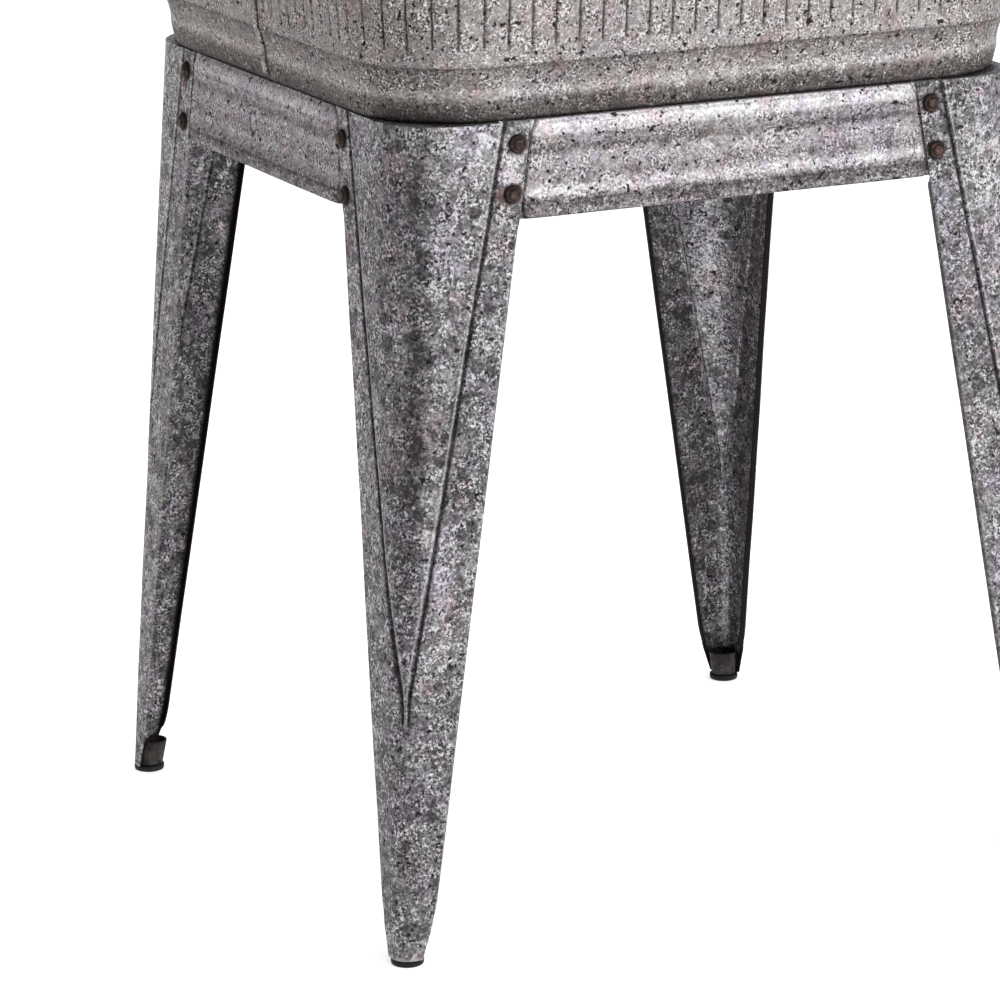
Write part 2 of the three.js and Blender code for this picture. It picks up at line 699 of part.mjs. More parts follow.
function standCorner(name, sign) {
  const corner = new THREE.Group();
  const wings = WINGS[name];
  const holes = ['x', 'y'].flatMap((axis) =>
    railRivets(axis, wings[axis]).map(([along, drop]) => {
      const hole = drill(RIVET_SHANK + FIT_GAP, 0, 0, -10, 10);
      const z = STAND_HEIGHT - drop;
      return axis === 'x'
        ? hole.translate(sign.x * along, sign.y * TOP_HALF.y, z)
        : hole.rotateZ(Math.PI / 2).translate(sign.x * TOP_HALF.x, sign.y * along, z);
    }),
  );
  const folds = [legLip(sign, 'x', wings.x), legLip(sign, 'y', wings.y), legLedge(sign, wings)];
  corner.add(mesh(`leg_${name}`, build(legSheet(sign, wings), folds, holes), legSteel));
  const foot = new THREE.Group();
  foot.position.set(
    sign.x * (FLOOR_HALF.x - CORNER_RADIUS_FLOOR),
    sign.y * (FLOOR_HALF.y - CORNER_RADIUS_FLOOR),
    0,
  );
  foot.add(mesh(`foot_plug_${name}`, footPlug(sign), plugSteel));
  foot.add(mesh(`glide_${name}`, glide(), blackPlastic));
  corner.add(foot);
  return corner;
}

// A rail with its four rivets. plusEnd and minusEnd name the corners at its +x and -x ends.
function railSide(name, axis, turn, plusEnd, minusEnd) {
  const group = new THREE.Group();
  const out = TOP_HALF[axis === 'x' ? 'y' : 'x'];
  group.position.set(out * Math.sin(turn), -out * Math.cos(turn), STAND_HEIGHT);
  group.rotation.z = turn;
  const cornerName = (end) => (axis === 'x' ? `${name}_${end}` : `${end}_${name}`);
  const wingOver = (end) => WINGS[cornerName(end)][axis];
  group.add(rail(`rail_${name}`, axis, wingOver(plusEnd), wingOver(minusEnd)));
  [plusEnd, minusEnd].forEach((end, j) => {
    railRivets(axis, wingOver(end)).forEach(([along, drop], i) => {
      const rivetName = `rivet_${name}_rail_${end}_${['upper', 'lower'][i]}`;
      group.add(railRivet(rivetName, axis, j === 0 ? along : -along, drop));
    });
  });
  return group;
}

function handleSet(name, side) {
  const group = new THREE.Group();
  group.applyMatrix4(handleFrame(side));
  const ends = { front: -side * EAR_SPACING, back: side * EAR_SPACING };
  Object.entries(ends).forEach(([end, x]) => {
    const lug = mesh(`handle_ear_${name}_${end}`, ear(), handleSteel);
    lug.position.x = x;
    group.add(lug);
    EAR_RIVET_PLACES.forEach((up, i) => {
      const grip = EAR_SHEET + FIT_GAP + TUB_SHEET;
      const rivet = mesh(
        `ear_rivet_${name}_${end}_${['lower', 'upper'][i]}`,
        rivetGeometry(EAR_RIVET_SHANK, EAR_RIVET_HEAD, grip, 8),
        rivetSteel,
      );
      rivet.position.set(x, -EAR_SHEET - FIT_GAP, up);
      group.add(rivet);
    });
  });
  const rod = mesh(`handle_${name}`, handleRod(), handleSteel);
  rod.position.y = -PIVOT_OUT;
  rod.rotation.x = -LEAN;
  group.add(rod);
  return group;
}

function stand() {
  const group = new THREE.Group();
  group.add(standCorner('front_left', { x: -1, y: -1 }));
  group.add(standCorner('front_right', { x: 1, y: -1 }));
  group.add(standCorner('back_left', { x: -1, y: 1 }));
  group.add(standCorner('back_right', { x: 1, y: 1 }));
  group.add(railSide('front', 'x', 0, 'right', 'left'));
  group.add(railSide('back', 'x', Math.PI, 'left', 'right'));
  group.add(railSide('left', 'y', -Math.PI / 2, 'front', 'back'));
  group.add(railSide('right', 'y', Math.PI / 2, 'back', 'front'));
  return group;
}

function tub() {
  const group = new THREE.Group();
  group.add(mesh('tub_pan', tubPan(), tubSteel));
  group.add(mesh('tub_wall_front', tubWallHalf(), tubSteel));
  const back = mesh('tub_wall_back', tubWallHalf(), tubSteel);
  back.rotation.z = Math.PI;
  group.add(back);
  group.add(mesh('rim_wire', rimWire(), handleSteel));
  group.add(handleSet('left', -1));
  group.add(handleSet('right', 1));
  return group;
}

const planter = new THREE.Group();
planter.add(stand());
planter.add(tub());

export default planter;
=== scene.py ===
import math

import bpy
import numpy as np
from mathutils import Matrix, Vector


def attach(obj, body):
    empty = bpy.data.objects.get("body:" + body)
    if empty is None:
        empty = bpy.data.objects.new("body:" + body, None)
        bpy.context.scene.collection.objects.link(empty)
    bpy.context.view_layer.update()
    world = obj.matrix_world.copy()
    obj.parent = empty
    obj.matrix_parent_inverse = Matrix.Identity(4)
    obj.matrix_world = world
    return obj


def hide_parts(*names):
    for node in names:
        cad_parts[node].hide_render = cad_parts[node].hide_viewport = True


# A raised planter: a fluted galvanised tub in a four-legged stand of pressed sheet steel. Shapes are worked
# out in millimetres in the CAD frame (origin on the floor, +X along the front rail, +Z up) and put into the
# scene in metres.

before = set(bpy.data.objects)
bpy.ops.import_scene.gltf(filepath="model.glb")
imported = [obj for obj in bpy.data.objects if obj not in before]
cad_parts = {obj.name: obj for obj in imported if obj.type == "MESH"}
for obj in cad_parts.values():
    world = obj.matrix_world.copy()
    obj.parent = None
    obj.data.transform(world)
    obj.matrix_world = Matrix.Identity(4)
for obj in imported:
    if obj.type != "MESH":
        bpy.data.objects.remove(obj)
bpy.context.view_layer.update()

MM = 0.001
FIT_GAP = 0.35
QUARTER = math.pi / 2
join = np.concatenate

# Stand
STAND_HEIGHT = 600
STAND_SHEET = 1.6
TOP_HALF = {"x": 252.5, "y": 238.5}
FLOOR_HALF = {"x": 277, "y": 261}
WING_TOP = {"narrow": 97.5, "wide": 114}
WING_FLOOR = 25
WING_TIP = 19
CORNER_RADIUS_TOP = 50
CORNER_RADIUS_FLOOR = 12.5
TIP_HEIGHT = 5
WRAP_HEIGHT = 50
LIP_FOOT = 27
CREASE_TOP = {"narrow": 77, "wide": 96}
CREASE_APEX = 181
CREASE_HALF_WIDTH = 2
CREASE_DEPTH = 2.0
LIP_DEPTH = 6
LIP_BEND = 2.2
RAIL_HEIGHT = 69
RAIL_BEAD = 3
RAIL_LEDGE = 20
RAIL_RETURN = 6
RAIL_CHAMFER = {"x": 3, "y": 7}
RIVET_SHANK = 2.9
RIVET_HEAD = 6.8
# Width of each leg's wings: along the front or back, and along the side.
WINGS = {
    "front_left": {"x": "narrow", "y": "wide"},
    "front_right": {"x": "narrow", "y": "wide"},
    "back_left": {"x": "narrow", "y": "narrow"},
    "back_right": {"x": "narrow", "y": "wide"},
}
# Rivets by rail direction and leg wing: below the rail top, and off the wing's middle towards its edge.
RIVETS = {
    ("x", "narrow"): [(15.5, 0.5), (50.5, 2.2)],
    ("y", "wide"): [(21, 2), (60.5, 3.5)],
    ("y", "narrow"): [(16, -2), (56, 0)],
}
PLUG_HEIGHT = 20
GLIDE_RADIUS = 12

# Tub
TUB_SHEET = 1.2
TUB_HALF = {"x": 251, "y": 234}
TUB_CORNER = 72
TUB_DEPTH = 260
TUB_FLARE = 0.0875
PAN_EDGE = 12
PAN_INSET = 0.6
FLOOR_LIFT = 2.2
RIM_RADIUS = 4.6
DRAIN_RADIUS = 7
DRAIN_SPREAD = {"x": 120, "y": 110}
SEAM_LAP = 8
FLUTE_PITCH = {"front": 18.2, "side": 15}
FLUTE_BOTTOM = 54
FLUTE_TOP = 222
FLUTE_DEPTH = 1.4
FLUTE_HALF_WIDTH = 1.7
FLUTE_FIRST = 6.4

# Handles
HANDLE_ROD = 3.5
HANDLE_HALF = 46
HANDLE_DROP = 62
HANDLE_HEIGHT = 190
PIVOT_OUT = 9
EAR_SPACING = 58
EAR_LENGTH = 14
EAR_RIVET_SHANK = 2
EAR_RIVET_HEAD = 3.8
EAR_RIVET_SPREAD = 13
EAR_SHEET = 1.6

CORNERS = {
    "front_left": (-1, -1),
    "front_right": (1, -1),
    "back_left": (-1, 1),
    "back_right": (1, 1),
}


# ---- Small helpers


def mix(start, end, part):
    return start + (end - start) * part


def ease(part):
    part = np.clip(part, 0, 1)
    return part * part * (3 - 2 * part)


def bell(at, middle, width, power=2):
    """1 at the middle, falling to 1/e at that width on both sides of it."""
    return np.exp(-(np.abs((at - middle) / width) ** power))


def move(x, y, z):
    return Matrix.Translation((x, y, z))


def spin(angle, axis):
    return Matrix.Rotation(angle, 4, axis)


def smooth_keys(at, keys):
    """A smooth curve through (place, value) keys, read at the places in at."""
    places, values = np.array(keys, float).T
    slopes = np.gradient(values, places)
    at = np.clip(at, places[0], places[-1])
    k = np.clip(np.searchsorted(places, at) - 1, 0, len(places) - 2)
    span = places[k + 1] - places[k]
    t = (at - places[k]) / span
    start = (1 + 2 * t) * (1 - t) ** 2 * values[k] + t * (1 - t) ** 2 * span * slopes[k]
    end = t * t * (3 - 2 * t) * values[k + 1] + t * t * (t - 1) * span * slopes[k + 1]
    return start + end


def offset_path(path, distance):
    """An open path moved sideways, to the right of its direction, with mitred corners."""
    path = np.asarray(path, float)
    step = np.diff(path, axis=0)
    step /= np.linalg.norm(step, axis=1)[:, None]
    normal = np.column_stack([step[:, 1], -step[:, 0]])
    before = np.vstack([normal[:1], normal])
    after = np.vstack([normal, normal[-1:]])
    spread = 1 + np.sum(before * after, axis=1)
    return path + distance * (before + after) / spread[:, None]


class Shell:
    """A closed surface in millimetres. Each point says how dirty and how shaded it is (painted shade), how
    rubbed and how lit (painted highlight) it is, how rusty it is, and its tone: mostly painted light and shade
    that make its zinc lighter or darker than the rest."""

    PAINTS = ("grime", "wear", "rust", "tone")

    def __init__(self, points, faces, **paints):
        self.points = np.asarray(points, float).reshape(-1, 3)
        self.faces = faces
        for paint in self.PAINTS:
            value = np.asarray(paints.get(paint, 0.0), float)
            setattr(self, paint, np.broadcast_to(value.reshape(-1), len(self.points)).copy())
        if self.volume() < 0:
            self.faces = [face[::-1] for face in faces]

    def volume(self):
        total = 0.0
        middle = self.points.mean(axis=0)
        for size in sorted({len(face) for face in self.faces}):
            group = np.array([face for face in self.faces if len(face) == size])
            corners = self.points[group] - middle
            for k in range(1, size - 1):
                cross = np.cross(corners[:, k], corners[:, k + 1])
                total += np.sum(corners[:, 0] * cross)
        return total

    def moved(self, matrix):
        turned = np.array(matrix)[:3, :3]
        self.points = self.points @ turned.T + np.array(matrix)[:3, 3]
        return self


def grid_faces(rows, columns, row_loop=False):
    """Quads between rings of points, each ring closed on itself."""
    spans = rows if row_loop else rows - 1
    row, column = np.meshgrid(np.arange(spans), np.arange(columns), indexing="ij")
    near, far = row * columns, ((row + 1) % rows) * columns
    following = (column + 1) % columns
    quads = np.stack([near + column, far + column, far + following, near + following], axis=-1)
    return quads.reshape(-1, 4).tolist()


def loft(rings, looped=False, **paints):
    """A closed surface through rings of points. A ring goes out along one skin and back along the other, so
    point i faces the i-th from its end, and each end is closed by a strip between the two skins."""
    rings = np.asarray(rings, float)
    rows, columns = rings.shape[:2]
    faces = grid_faces(rows, columns, looped)
    if not looped:
        last = (rows - 1) * columns
        for i in range(columns // 2 - 1):
            facing = columns - 1 - i
            faces.append([i, i + 1, facing - 1, facing])
            faces.append([last + facing, last + facing - 1, last + i + 1, last + i])
    return Shell(rings, faces, **paints)


def lathe(profile, sides, closed=False, **paints):
    """A profile of (radius, height) points turned about +Z. It starts and ends on the axis, or closes."""
    points, rings = [], []
    angles = np.arange(sides) * 2 * math.pi / sides
    for radius, height in profile:
        if radius == 0:
            rings.append([len(points)] * sides)
            points.append((0, 0, height))
            continue
        rings.append(list(range(len(points), len(points) + sides)))
        points += [(radius * math.cos(a), radius * math.sin(a), height) for a in angles]
    pairs = list(zip(rings, rings[1:] + (rings[:1] if closed else [])))
    faces = []
    for low, high in pairs:
        for i in range(sides):
            j = (i + 1) % sides
            loop = [low[i], low[j], high[j], high[i]]
            faces.append([v for k, v in enumerate(loop) if v != loop[k - 1]])
    return Shell(points, faces, **paints)


def tube(path, radius, sides, **paints):
    """A round rod along a path of points in the XZ plane."""
    path = np.asarray(path, float)
    along = np.gradient(path, axis=0)
    along /= np.linalg.norm(along, axis=1)[:, None]
    angles = np.arange(sides) * 2 * math.pi / sides
    across = np.column_stack([-along[:, 1], along[:, 0]])
    rings = []
    for centre, side in zip(path, across):
        reach = radius * np.cos(angles)
        deep = radius * np.sin(angles)
        rings.append(np.column_stack([centre[0] + reach * side[0], deep, centre[1] + reach * side[1]]))
    return loft(rings, **paints)


def spots(points, centres):
    """How strongly points are covered by round spots, each (x, y, z, radius, strength)."""
    total = np.zeros(len(points))
    for x, y, z, radius, strength in centres:
        distance = np.linalg.norm(points - np.array([x, y, z]), axis=1)
        total = np.maximum(total, strength * bell(distance, 0, radius))
    return total


collect = bpy.context.scene.collection.objects.link


def piece(name, shells, material, body, sharp=38):
    """Puts shells into the scene as one object that stands for the CAD node of that name."""
    points = np.vstack([shell.points for shell in shells]) * MM
    faces, start = [], 0
    for shell in shells:
        faces += [[v + start for v in face] for face in shell.faces]
        start += len(shell.points)
    mesh = bpy.data.meshes.new(name)
    mesh.from_pydata(points.tolist(), [], faces)
    mesh.update()
    for paint in Shell.PAINTS:
        values = join([getattr(shell, paint) for shell in shells])
        attribute = mesh.attributes.new(paint, "FLOAT", "POINT")
        attribute.data.foreach_set("value", values.astype(np.float32))
    mesh.polygons.foreach_set("use_smooth", [True] * len(mesh.polygons))
    mesh.set_sharp_from_angle(angle=math.radians(sharp))
    mesh.materials.append(material)
    made = bpy.data.objects.new(f"look_{name}", mesh)
    collect(made)
    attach(made, body)
    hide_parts(name)


# ---- Materials


class Nodes:
    """A node tree being built, with short ways to add nodes."""

    def __init__(self, tree, coordinates):
        self.tree = tree
        self.place = self.add("ShaderNodeTexCoord").outputs[coordinates]

    def add(self, kind, inputs=None, **settings):
        made = self.tree.nodes.new(kind)
        for key, value in settings.items():
            setattr(made, key, value)
        for key, value in (inputs or {}).items():
            self.put(made.inputs[key], value)
        return made

    def put(self, socket, value):
        if isinstance(value, bpy.types.NodeSocket):
            self.tree.links.new(value, socket)
        else:
            socket.default_value = value

    def maths(self, operation, a, b=0.0, c=0.0, clamp=False):
        made = self.add("ShaderNodeMath", {0: a, 1: b, 2: c}, operation=operation, use_clamp=clamp)
        return made.outputs[0]

    def times(self, a, b, clamp=False):
        return self.maths("MULTIPLY", a, b, clamp=clamp)

    def noise(self, size, detail=2.0, roughness=0.5, place=None, distortion=0.0, output="Fac"):
        """Noise with features of that size in millimetres."""
        inputs = {"Vector": place or self.place, "Scale": 1 / (size * MM), "Detail": detail}
        inputs.update({"Roughness": roughness, "Distortion": distortion})
        return self.add("ShaderNodeTexNoise", inputs).outputs[output]

    def cells(self, size, place):
        """Random-toned cells of that size in millimetres."""
        return self.add("ShaderNodeTexVoronoi", {"Vector": place, "Scale": 1 / (size * MM)})

    def red(self, colour):
        return self.add("ShaderNodeSeparateColor", {"Color": colour}).outputs["Red"]

    def between(self, value, low, high, to_low=0.0, to_high=1.0, smooth=True):
        inputs = {"Value": value, "From Min": low, "From Max": high, "To Min": to_low, "To Max": to_high}
        kind = "SMOOTHSTEP" if smooth else "LINEAR"
        return self.add("ShaderNodeMapRange", inputs, interpolation_type=kind).outputs["Result"]

    def paint(self, name):
        return self.add("ShaderNodeAttribute", attribute_name=name).outputs["Fac"]

    def blend(self, factor, a, b, kind="MIX"):
        made = self.add("ShaderNodeMix", data_type="RGBA", blend_type=kind)
        self.put(made.inputs[0], factor)
        self.put(made.inputs[6], a)
        self.put(made.inputs[7], b)
        return made.outputs[2]

    def ramp(self, factor, stops):
        made = self.add("ShaderNodeValToRGB", {"Fac": factor})
        elements = made.color_ramp.elements
        while len(elements) < len(stops):
            elements.new(0.5)
        for element, (position, colour) in zip(elements, stops):
            element.position = position
            element.color = (*colour, 1)
        return made.outputs["Color"]

    def warped(self, size, reach):
        """The object's coordinates, pushed about by noise so that cell borders turn ragged."""
        wander = self.noise(size, 3, output="Color")
        steps = {"SUBTRACT": (0.5, 0.5, 0.5), "MULTIPLY": (reach * MM,) * 3, "ADD": self.place}
        for operation, other in steps.items():
            made = self.add("ShaderNodeVectorMath", {0: wander, 1: other}, operation=operation)
            wander = made.outputs[0]
        return wander

    def bump(self, height, depth, onto=None):
        """Relief of that depth in millimetres."""
        inputs = {"Height": height, "Distance": depth * MM, "Strength": 1.0}
        if onto is not None:
            inputs["Normal"] = onto
        return self.add("ShaderNodeBump", inputs).outputs["Normal"]


class Surface(Nodes):
    """A material being built."""

    def __init__(self, name):
        self.material = bpy.data.materials.new(name)
        self.material.use_nodes = True
        self.material.node_tree.nodes.clear()
        super().__init__(self.material.node_tree, "Object")
        self.shader = self.add("ShaderNodeBsdfPrincipled")
        output = self.add("ShaderNodeOutputMaterial")
        self.put(output.inputs["Surface"], self.shader.outputs["BSDF"])

    def has(self, quality, value):
        """Sets a quality of the surface to a number, a colour or what a node gives."""
        self.put(self.shader.inputs[quality], value)


# Near-black for dirty darkening and for painted shade.
GRIME_AND_SHADE = (0.012, 0.0095, 0.0085, 1)
RUST = (0.145, 0.032, 0.018, 1)
OLD_RUST = (0.070, 0.042, 0.037, 1)
PINK_BROWN = (0.215, 0.152, 0.148, 1)


def galvanised(name, look):
    """Weathered hot-dip zinc: angular crystals with splinters inside them, a fine frosty grain, darker and
    lighter clouds, green-grey, violet and pink-brown stains, dark pits, rust where the zinc is broken, dirty
    grooves with painted shade in them, painted shadows and black folded edges (painted shade), zinc rubbed
    bright and painted highlights, and painted light and shade from each point's tone. Sizes are in
    millimetres; tones go from dark to light crystals."""
    n = Surface(name)
    ragged = n.warped(look["spangle"] * 0.55, look["spangle"] * 0.7)
    crystal = n.red(n.cells(look["spangle"], ragged).outputs["Color"])
    splinter = n.red(n.cells(look["spangle"] * 0.33, ragged).outputs["Color"])
    grain = n.noise(look["grain"], 3, 0.75)
    frost = n.noise(look["grain"] * 2.4, 3, 0.7, distortion=1.2)
    cloud = n.noise(55, 3, 0.6)
    patch = n.noise(17, 4, 0.65, distortion=0.8)
    busy = n.noise(15, 2, 0.5, distortion=1.0)
    swing = n.between(busy, 0.40, 0.62, 0.45, 1.45)
    plates = n.cells(look["plate"], ragged)
    plate = n.between(n.red(plates.outputs["Color"]), 0.74, 0.76)
    plate = n.times(plate, n.between(plates.outputs["Distance"], 0.62, 0.52))
    swing = n.times(swing, n.between(plate, 0, 1, 1.0, 0.35, smooth=False))
    grain = n.maths("MULTIPLY_ADD", n.maths("SUBTRACT", grain, 0.5), swing, 0.5)
    layers = (
        (crystal, look["crystal"]),
        (splinter, look["splinter"]),
        (grain, look["grit"]),
        (frost, look["frost"]),
        (cloud, look["cloud"]),
        (patch, look["patch"]),
    )
    # Each point's tone, mostly painted light and shade, moves its zinc along the ramp.
    value = n.maths("MULTIPLY_ADD", n.paint("tone"), 0.5, 0.5)
    for layer, amount in layers:
        value = n.maths("MULTIPLY_ADD", n.maths("SUBTRACT", layer, 0.5), amount, value)
    value = n.maths("SUBTRACT", value, n.times(plate, look["plate_tone"]))
    tones = look["tones"]
    steps = len(tones) - 1
    colour = n.ramp(value, [(0.1 + 0.8 * k / steps, tone) for k, tone in enumerate(tones)])
    tints = (
        (26, 0.54, 0.66, look["pink"], (1.0, 0.84, 0.86, 1)),
        (31, 0.52, 0.66, look["green"], (0.90, 1.0, 0.91, 1)),
        (37, 0.46, 0.62, look["violet"], (0.92, 0.89, 1.0, 1)),
    )
    for size, low, high, amount, tint in tints:
        cover = n.between(n.noise(size, 3, 0.6, distortion=0.5), low, high)
        colour = n.blend(n.times(cover, amount), colour, tint, "MULTIPLY")
    brown = n.between(n.noise(21, 5, 0.7, distortion=0.7), 0.60, 0.70)
    colour = n.blend(n.times(brown, look["stain"]), colour, PINK_BROWN)
    speck = n.noise(look["fleck"], 1, 0.5, ragged)
    flecks = n.between(speck, look["pit_level"], look["pit_level"] + 0.025)
    holes = n.between(n.cells(8, ragged).outputs["Distance"], 0.15, 0.09)
    dotted = n.between(n.noise(13, 2), 0.50, 0.58)
    pits = n.maths("MAXIMUM", flecks, n.times(holes, dotted))
    pits = n.times(pits, look["pits"])
    colour = n.blend(pits, colour, (0.014, 0.011, 0.010, 1))
    broken = n.maths("ADD", n.noise(4, 5, 0.75), n.paint("rust"))
    rust = n.between(broken, 0.80, 0.92)
    aged = n.blend(n.between(n.noise(11, 2), 0.45, 0.55), RUST, OLD_RUST)
    colour = n.blend(n.times(rust, 0.85), colour, aged)
    # Rubbed zinc and painted highlights turn the zinc light grey here.
    wear_and_highlight = n.times(n.paint("wear"), n.between(grain, 0.3, 0.6, 0.25, 0.7), clamp=True)
    colour = n.blend(wear_and_highlight, colour, (0.64, 0.62, 0.61, 1))
    # Dirty darkening and painted shade turn the zinc near-black here.
    dirt_and_shade = n.times(n.paint("grime"), n.between(grain, 0.25, 0.55, 1.0, 0.82), clamp=True)
    colour = n.blend(dirt_and_shade, colour, GRIME_AND_SHADE)
    n.has("Base Color", colour)
    dull = n.maths("MAXIMUM", n.maths("MAXIMUM", rust, dirt_and_shade), pits)
    metal = n.between(dull, 0, 1, look["metallic"], 0.0, smooth=False)
    n.has("Metallic", metal)
    n.has("Specular IOR Level", n.between(dull, 0, 1, 0.5, 0.08, smooth=False))
    shine = n.maths("MULTIPLY_ADD", n.maths("SUBTRACT", 0.5, value), 0.25, look["roughness"])
    shine = n.maths("MAXIMUM", shine, n.times(dull, 0.8))
    n.has("Roughness", n.between(shine, 0.2, 0.95, 0.2, 0.95, smooth=False))
    relief = n.bump(value, look["relief"])
    relief = n.bump(pits, -0.25, relief)
    n.has("Normal", n.bump(grain, look["relief"], relief))
    return n.material


def rusted(name):
    """Rust-brown rivets with lighter, rubbed tops, a dark line at the step on the dome and a painted shadow
    round the rim of the head.
    """
    n = Surface(name)
    grain = n.noise(1.1, 4, 0.75)
    blotch = n.noise(3.5, 3, 0.6)
    stops = [
        (0.43, (0.005, 0.003, 0.003)),
        (0.51, (0.046, 0.024, 0.020)),
        (0.59, (0.190, 0.100, 0.082)),
    ]
    colour = n.ramp(n.maths("MULTIPLY_ADD", grain, 0.5, n.times(blotch, 0.5)), stops)
    colour = n.blend(n.paint("wear"), colour, (0.26, 0.19, 0.165, 1))
    colour = n.blend(n.paint("grime"), colour, GRIME_AND_SHADE)
    n.has("Base Color", colour)
    n.has("Metallic", n.between(blotch, 0.3, 0.7, 0.1, 0.4))
    n.has("Specular IOR Level", 0.2)
    n.has("Roughness", n.between(grain, 0.3, 0.7, 0.5, 0.8))
    n.has("Normal", n.bump(grain, 0.6))
    return n.material


def plain_steel(name, dark, light, roughness, metallic):
    """Blotchy bare or zinc-plated steel for small fittings."""
    n = Surface(name)
    blotch = n.noise(6, 4, 0.65)
    grain = n.noise(1.6, 3, 0.7)
    value = n.maths("MULTIPLY_ADD", grain, 0.6, n.times(blotch, 0.45))
    colour = n.ramp(value, [(0.40, dark), (0.68, light)])
    rust = n.between(n.noise(4, 4, 0.7), 0.62, 0.70)
    colour = n.blend(n.times(rust, 0.7), colour, RUST)
    colour = n.blend(n.paint("grime"), colour, GRIME_AND_SHADE)
    n.has("Base Color", colour)
    n.has("Metallic", n.between(rust, 0, 1, metallic, 0.1))
    n.has("Specular IOR Level", 0.2)
    n.has("Roughness", n.between(value, 0.3, 0.8, roughness + 0.15, roughness - 0.08))
    n.has("Normal", n.bump(value, 0.15))
    return n.material


def moulded_plastic(name):
    """Black glides with a fine moulded grain and dusty scuffs."""
    n = Surface(name)
    grain = n.noise(0.8, 3, 0.6)
    dust = n.between(n.noise(7, 4, 0.6), 0.5, 0.75)
    colour = n.blend(n.times(dust, 0.35), (0.006, 0.006, 0.007, 1), (0.07, 0.065, 0.06, 1))
    n.has("Base Color", colour)
    n.has("Specular IOR Level", 0.25)
    n.has("Roughness", n.between(grain, 0.3, 0.7, 0.5, 0.7))
    n.has("Normal", n.bump(grain, 0.06))
    return n.material


LEG_TONES = [
    (0.032, 0.030, 0.030), (0.100, 0.094, 0.095), (0.205, 0.196, 0.199), (0.395, 0.384, 0.392),
    (0.740, 0.728, 0.750),
]
RAIL_TONES = [
    (0.050, 0.044, 0.044), (0.175, 0.160, 0.161), (0.355, 0.335, 0.338), (0.550, 0.530, 0.535),
    (0.820, 0.800, 0.808),
]
TUB_TONES = [
    (0.050, 0.043, 0.040), (0.155, 0.138, 0.132), (0.290, 0.265, 0.256), (0.465, 0.436, 0.426),
    (0.820, 0.795, 0.785),
]

leg_look = dict(
    spangle=5.6, plate=9.5, plate_tone=0.16, grain=2.0, fleck=4.4, crystal=0.22, splinter=0.34, grit=2.7,
    frost=0.55, cloud=0.30, patch=0.22, tones=LEG_TONES, pink=0.8, green=0.35, violet=0.9, stain=0.22,
    pits=0.95, pit_level=0.675, metallic=0.55, roughness=0.45, relief=0.16,
)
rail_look = dict(
    leg_look, spangle=4.2, plate=7, plate_tone=0.10, crystal=0.10, splinter=0.24, grit=2.4, frost=0.45,
    cloud=0.20, patch=0.20, tones=RAIL_TONES, stain=0.35, fleck=5.0, pits=0.95, pit_level=0.670,
    metallic=0.4, roughness=0.5,
)
tub_look = dict(
    leg_look, spangle=3.6, plate=6, plate_tone=0.07, grain=1.7, fleck=4.2, crystal=0.06, splinter=0.22,
    grit=2.7, frost=0.50, cloud=0.22, patch=0.18, tones=TUB_TONES, green=0.1, violet=0.3, stain=0.30,
    pits=0.95, pit_level=0.665, metallic=0.35, roughness=0.55,
)
leg_zinc = galvanised("leg_zinc", leg_look)
rail_zinc = galvanised("rail_zinc", rail_look)
tub_zinc = galvanised("tub_zinc", tub_look)
rivet_rust = rusted("rivet_rust")
plug_steel = plain_steel("plug_steel", (0.006, 0.005, 0.005), (0.085, 0.076, 0.072), 0.65, 0.3)
handle_steel = plain_steel("handle_steel", (0.12, 0.115, 0.11), (0.42, 0.41, 0.40), 0.42, 0.85)
glide_plastic = moulded_plastic("glide_plastic")


# ---- Legs
# A leg is worked out in its own corner: u runs inwards along the front or back of the stand, v inwards along
# its side, both from the sharp corner that the rounded one replaces. Places along the bent sheet are
# distances s from the middle of the corner, negative on the side wing and positive on the front wing.


def corner_at(z, axis):
    return mix(FLOOR_HALF[axis], TOP_HALF[axis], z / STAND_HEIGHT)


def radius_at(z):
    return mix(CORNER_RADIUS_FLOOR, CORNER_RADIUS_TOP, z / STAND_HEIGHT)


def centre_lean(axis):
    """How fast the axis of a leg's rounded corner leans inwards with height."""
    floor = FLOOR_HALF[axis] - CORNER_RADIUS_FLOOR
    return (floor - TOP_HALF[axis] + CORNER_RADIUS_TOP) / STAND_HEIGHT


def bend_length(width, radius):
    return width - radius * (1 - math.pi / 4)


def wing_at(z, wing):
    width = mix(WING_FLOOR, WING_TOP[wing], z / STAND_HEIGHT)
    wrap = min(max((WRAP_HEIGHT - z) / (WRAP_HEIGHT - TIP_HEIGHT), 0), 1)
    return mix(width, WING_TIP, wrap * wrap)


def crease_at(z, wing):
    top = bend_length(CREASE_TOP[wing], CORNER_RADIUS_TOP)
    closed = CREASE_HALF_WIDTH + 0.1
    return max(top * (z - CREASE_APEX) / (STAND_HEIGHT - CREASE_APEX), closed)


def crease_width_at(z, wing):
    return crease_at(z, wing) + radius_at(z) * (1 - math.pi / 4)


def face_point(z, s, depth):
    radius = radius_at(z)
    half_arc = radius * math.pi / 4
    turn = math.pi / 4 + np.clip(s, -half_arc, half_arc) / radius
    reach = radius - depth
    u = radius - reach * np.cos(turn) + np.maximum(s - half_arc, 0)
    v = radius - reach * np.sin(turn) + np.maximum(-s - half_arc, 0)
    return u, v


def lip_at(z):
    """How much of a wing's folded edge is there: none beside the rail or at the foot."""
    top = STAND_HEIGHT - RAIL_HEIGHT - 5
    return float(ease((top + 4 - z) / 7) * ease((z - LIP_FOOT) / 7))


# Places across a groove, in half widths from its middle.
HALF_GROOVE = np.array([0.15, 0.35, 0.6, 0.85, 1.15, 1.5, 2.1])
GROOVE_STOPS = np.array([*HALF_GROOVE[::-1], 0, *-HALF_GROOVE])


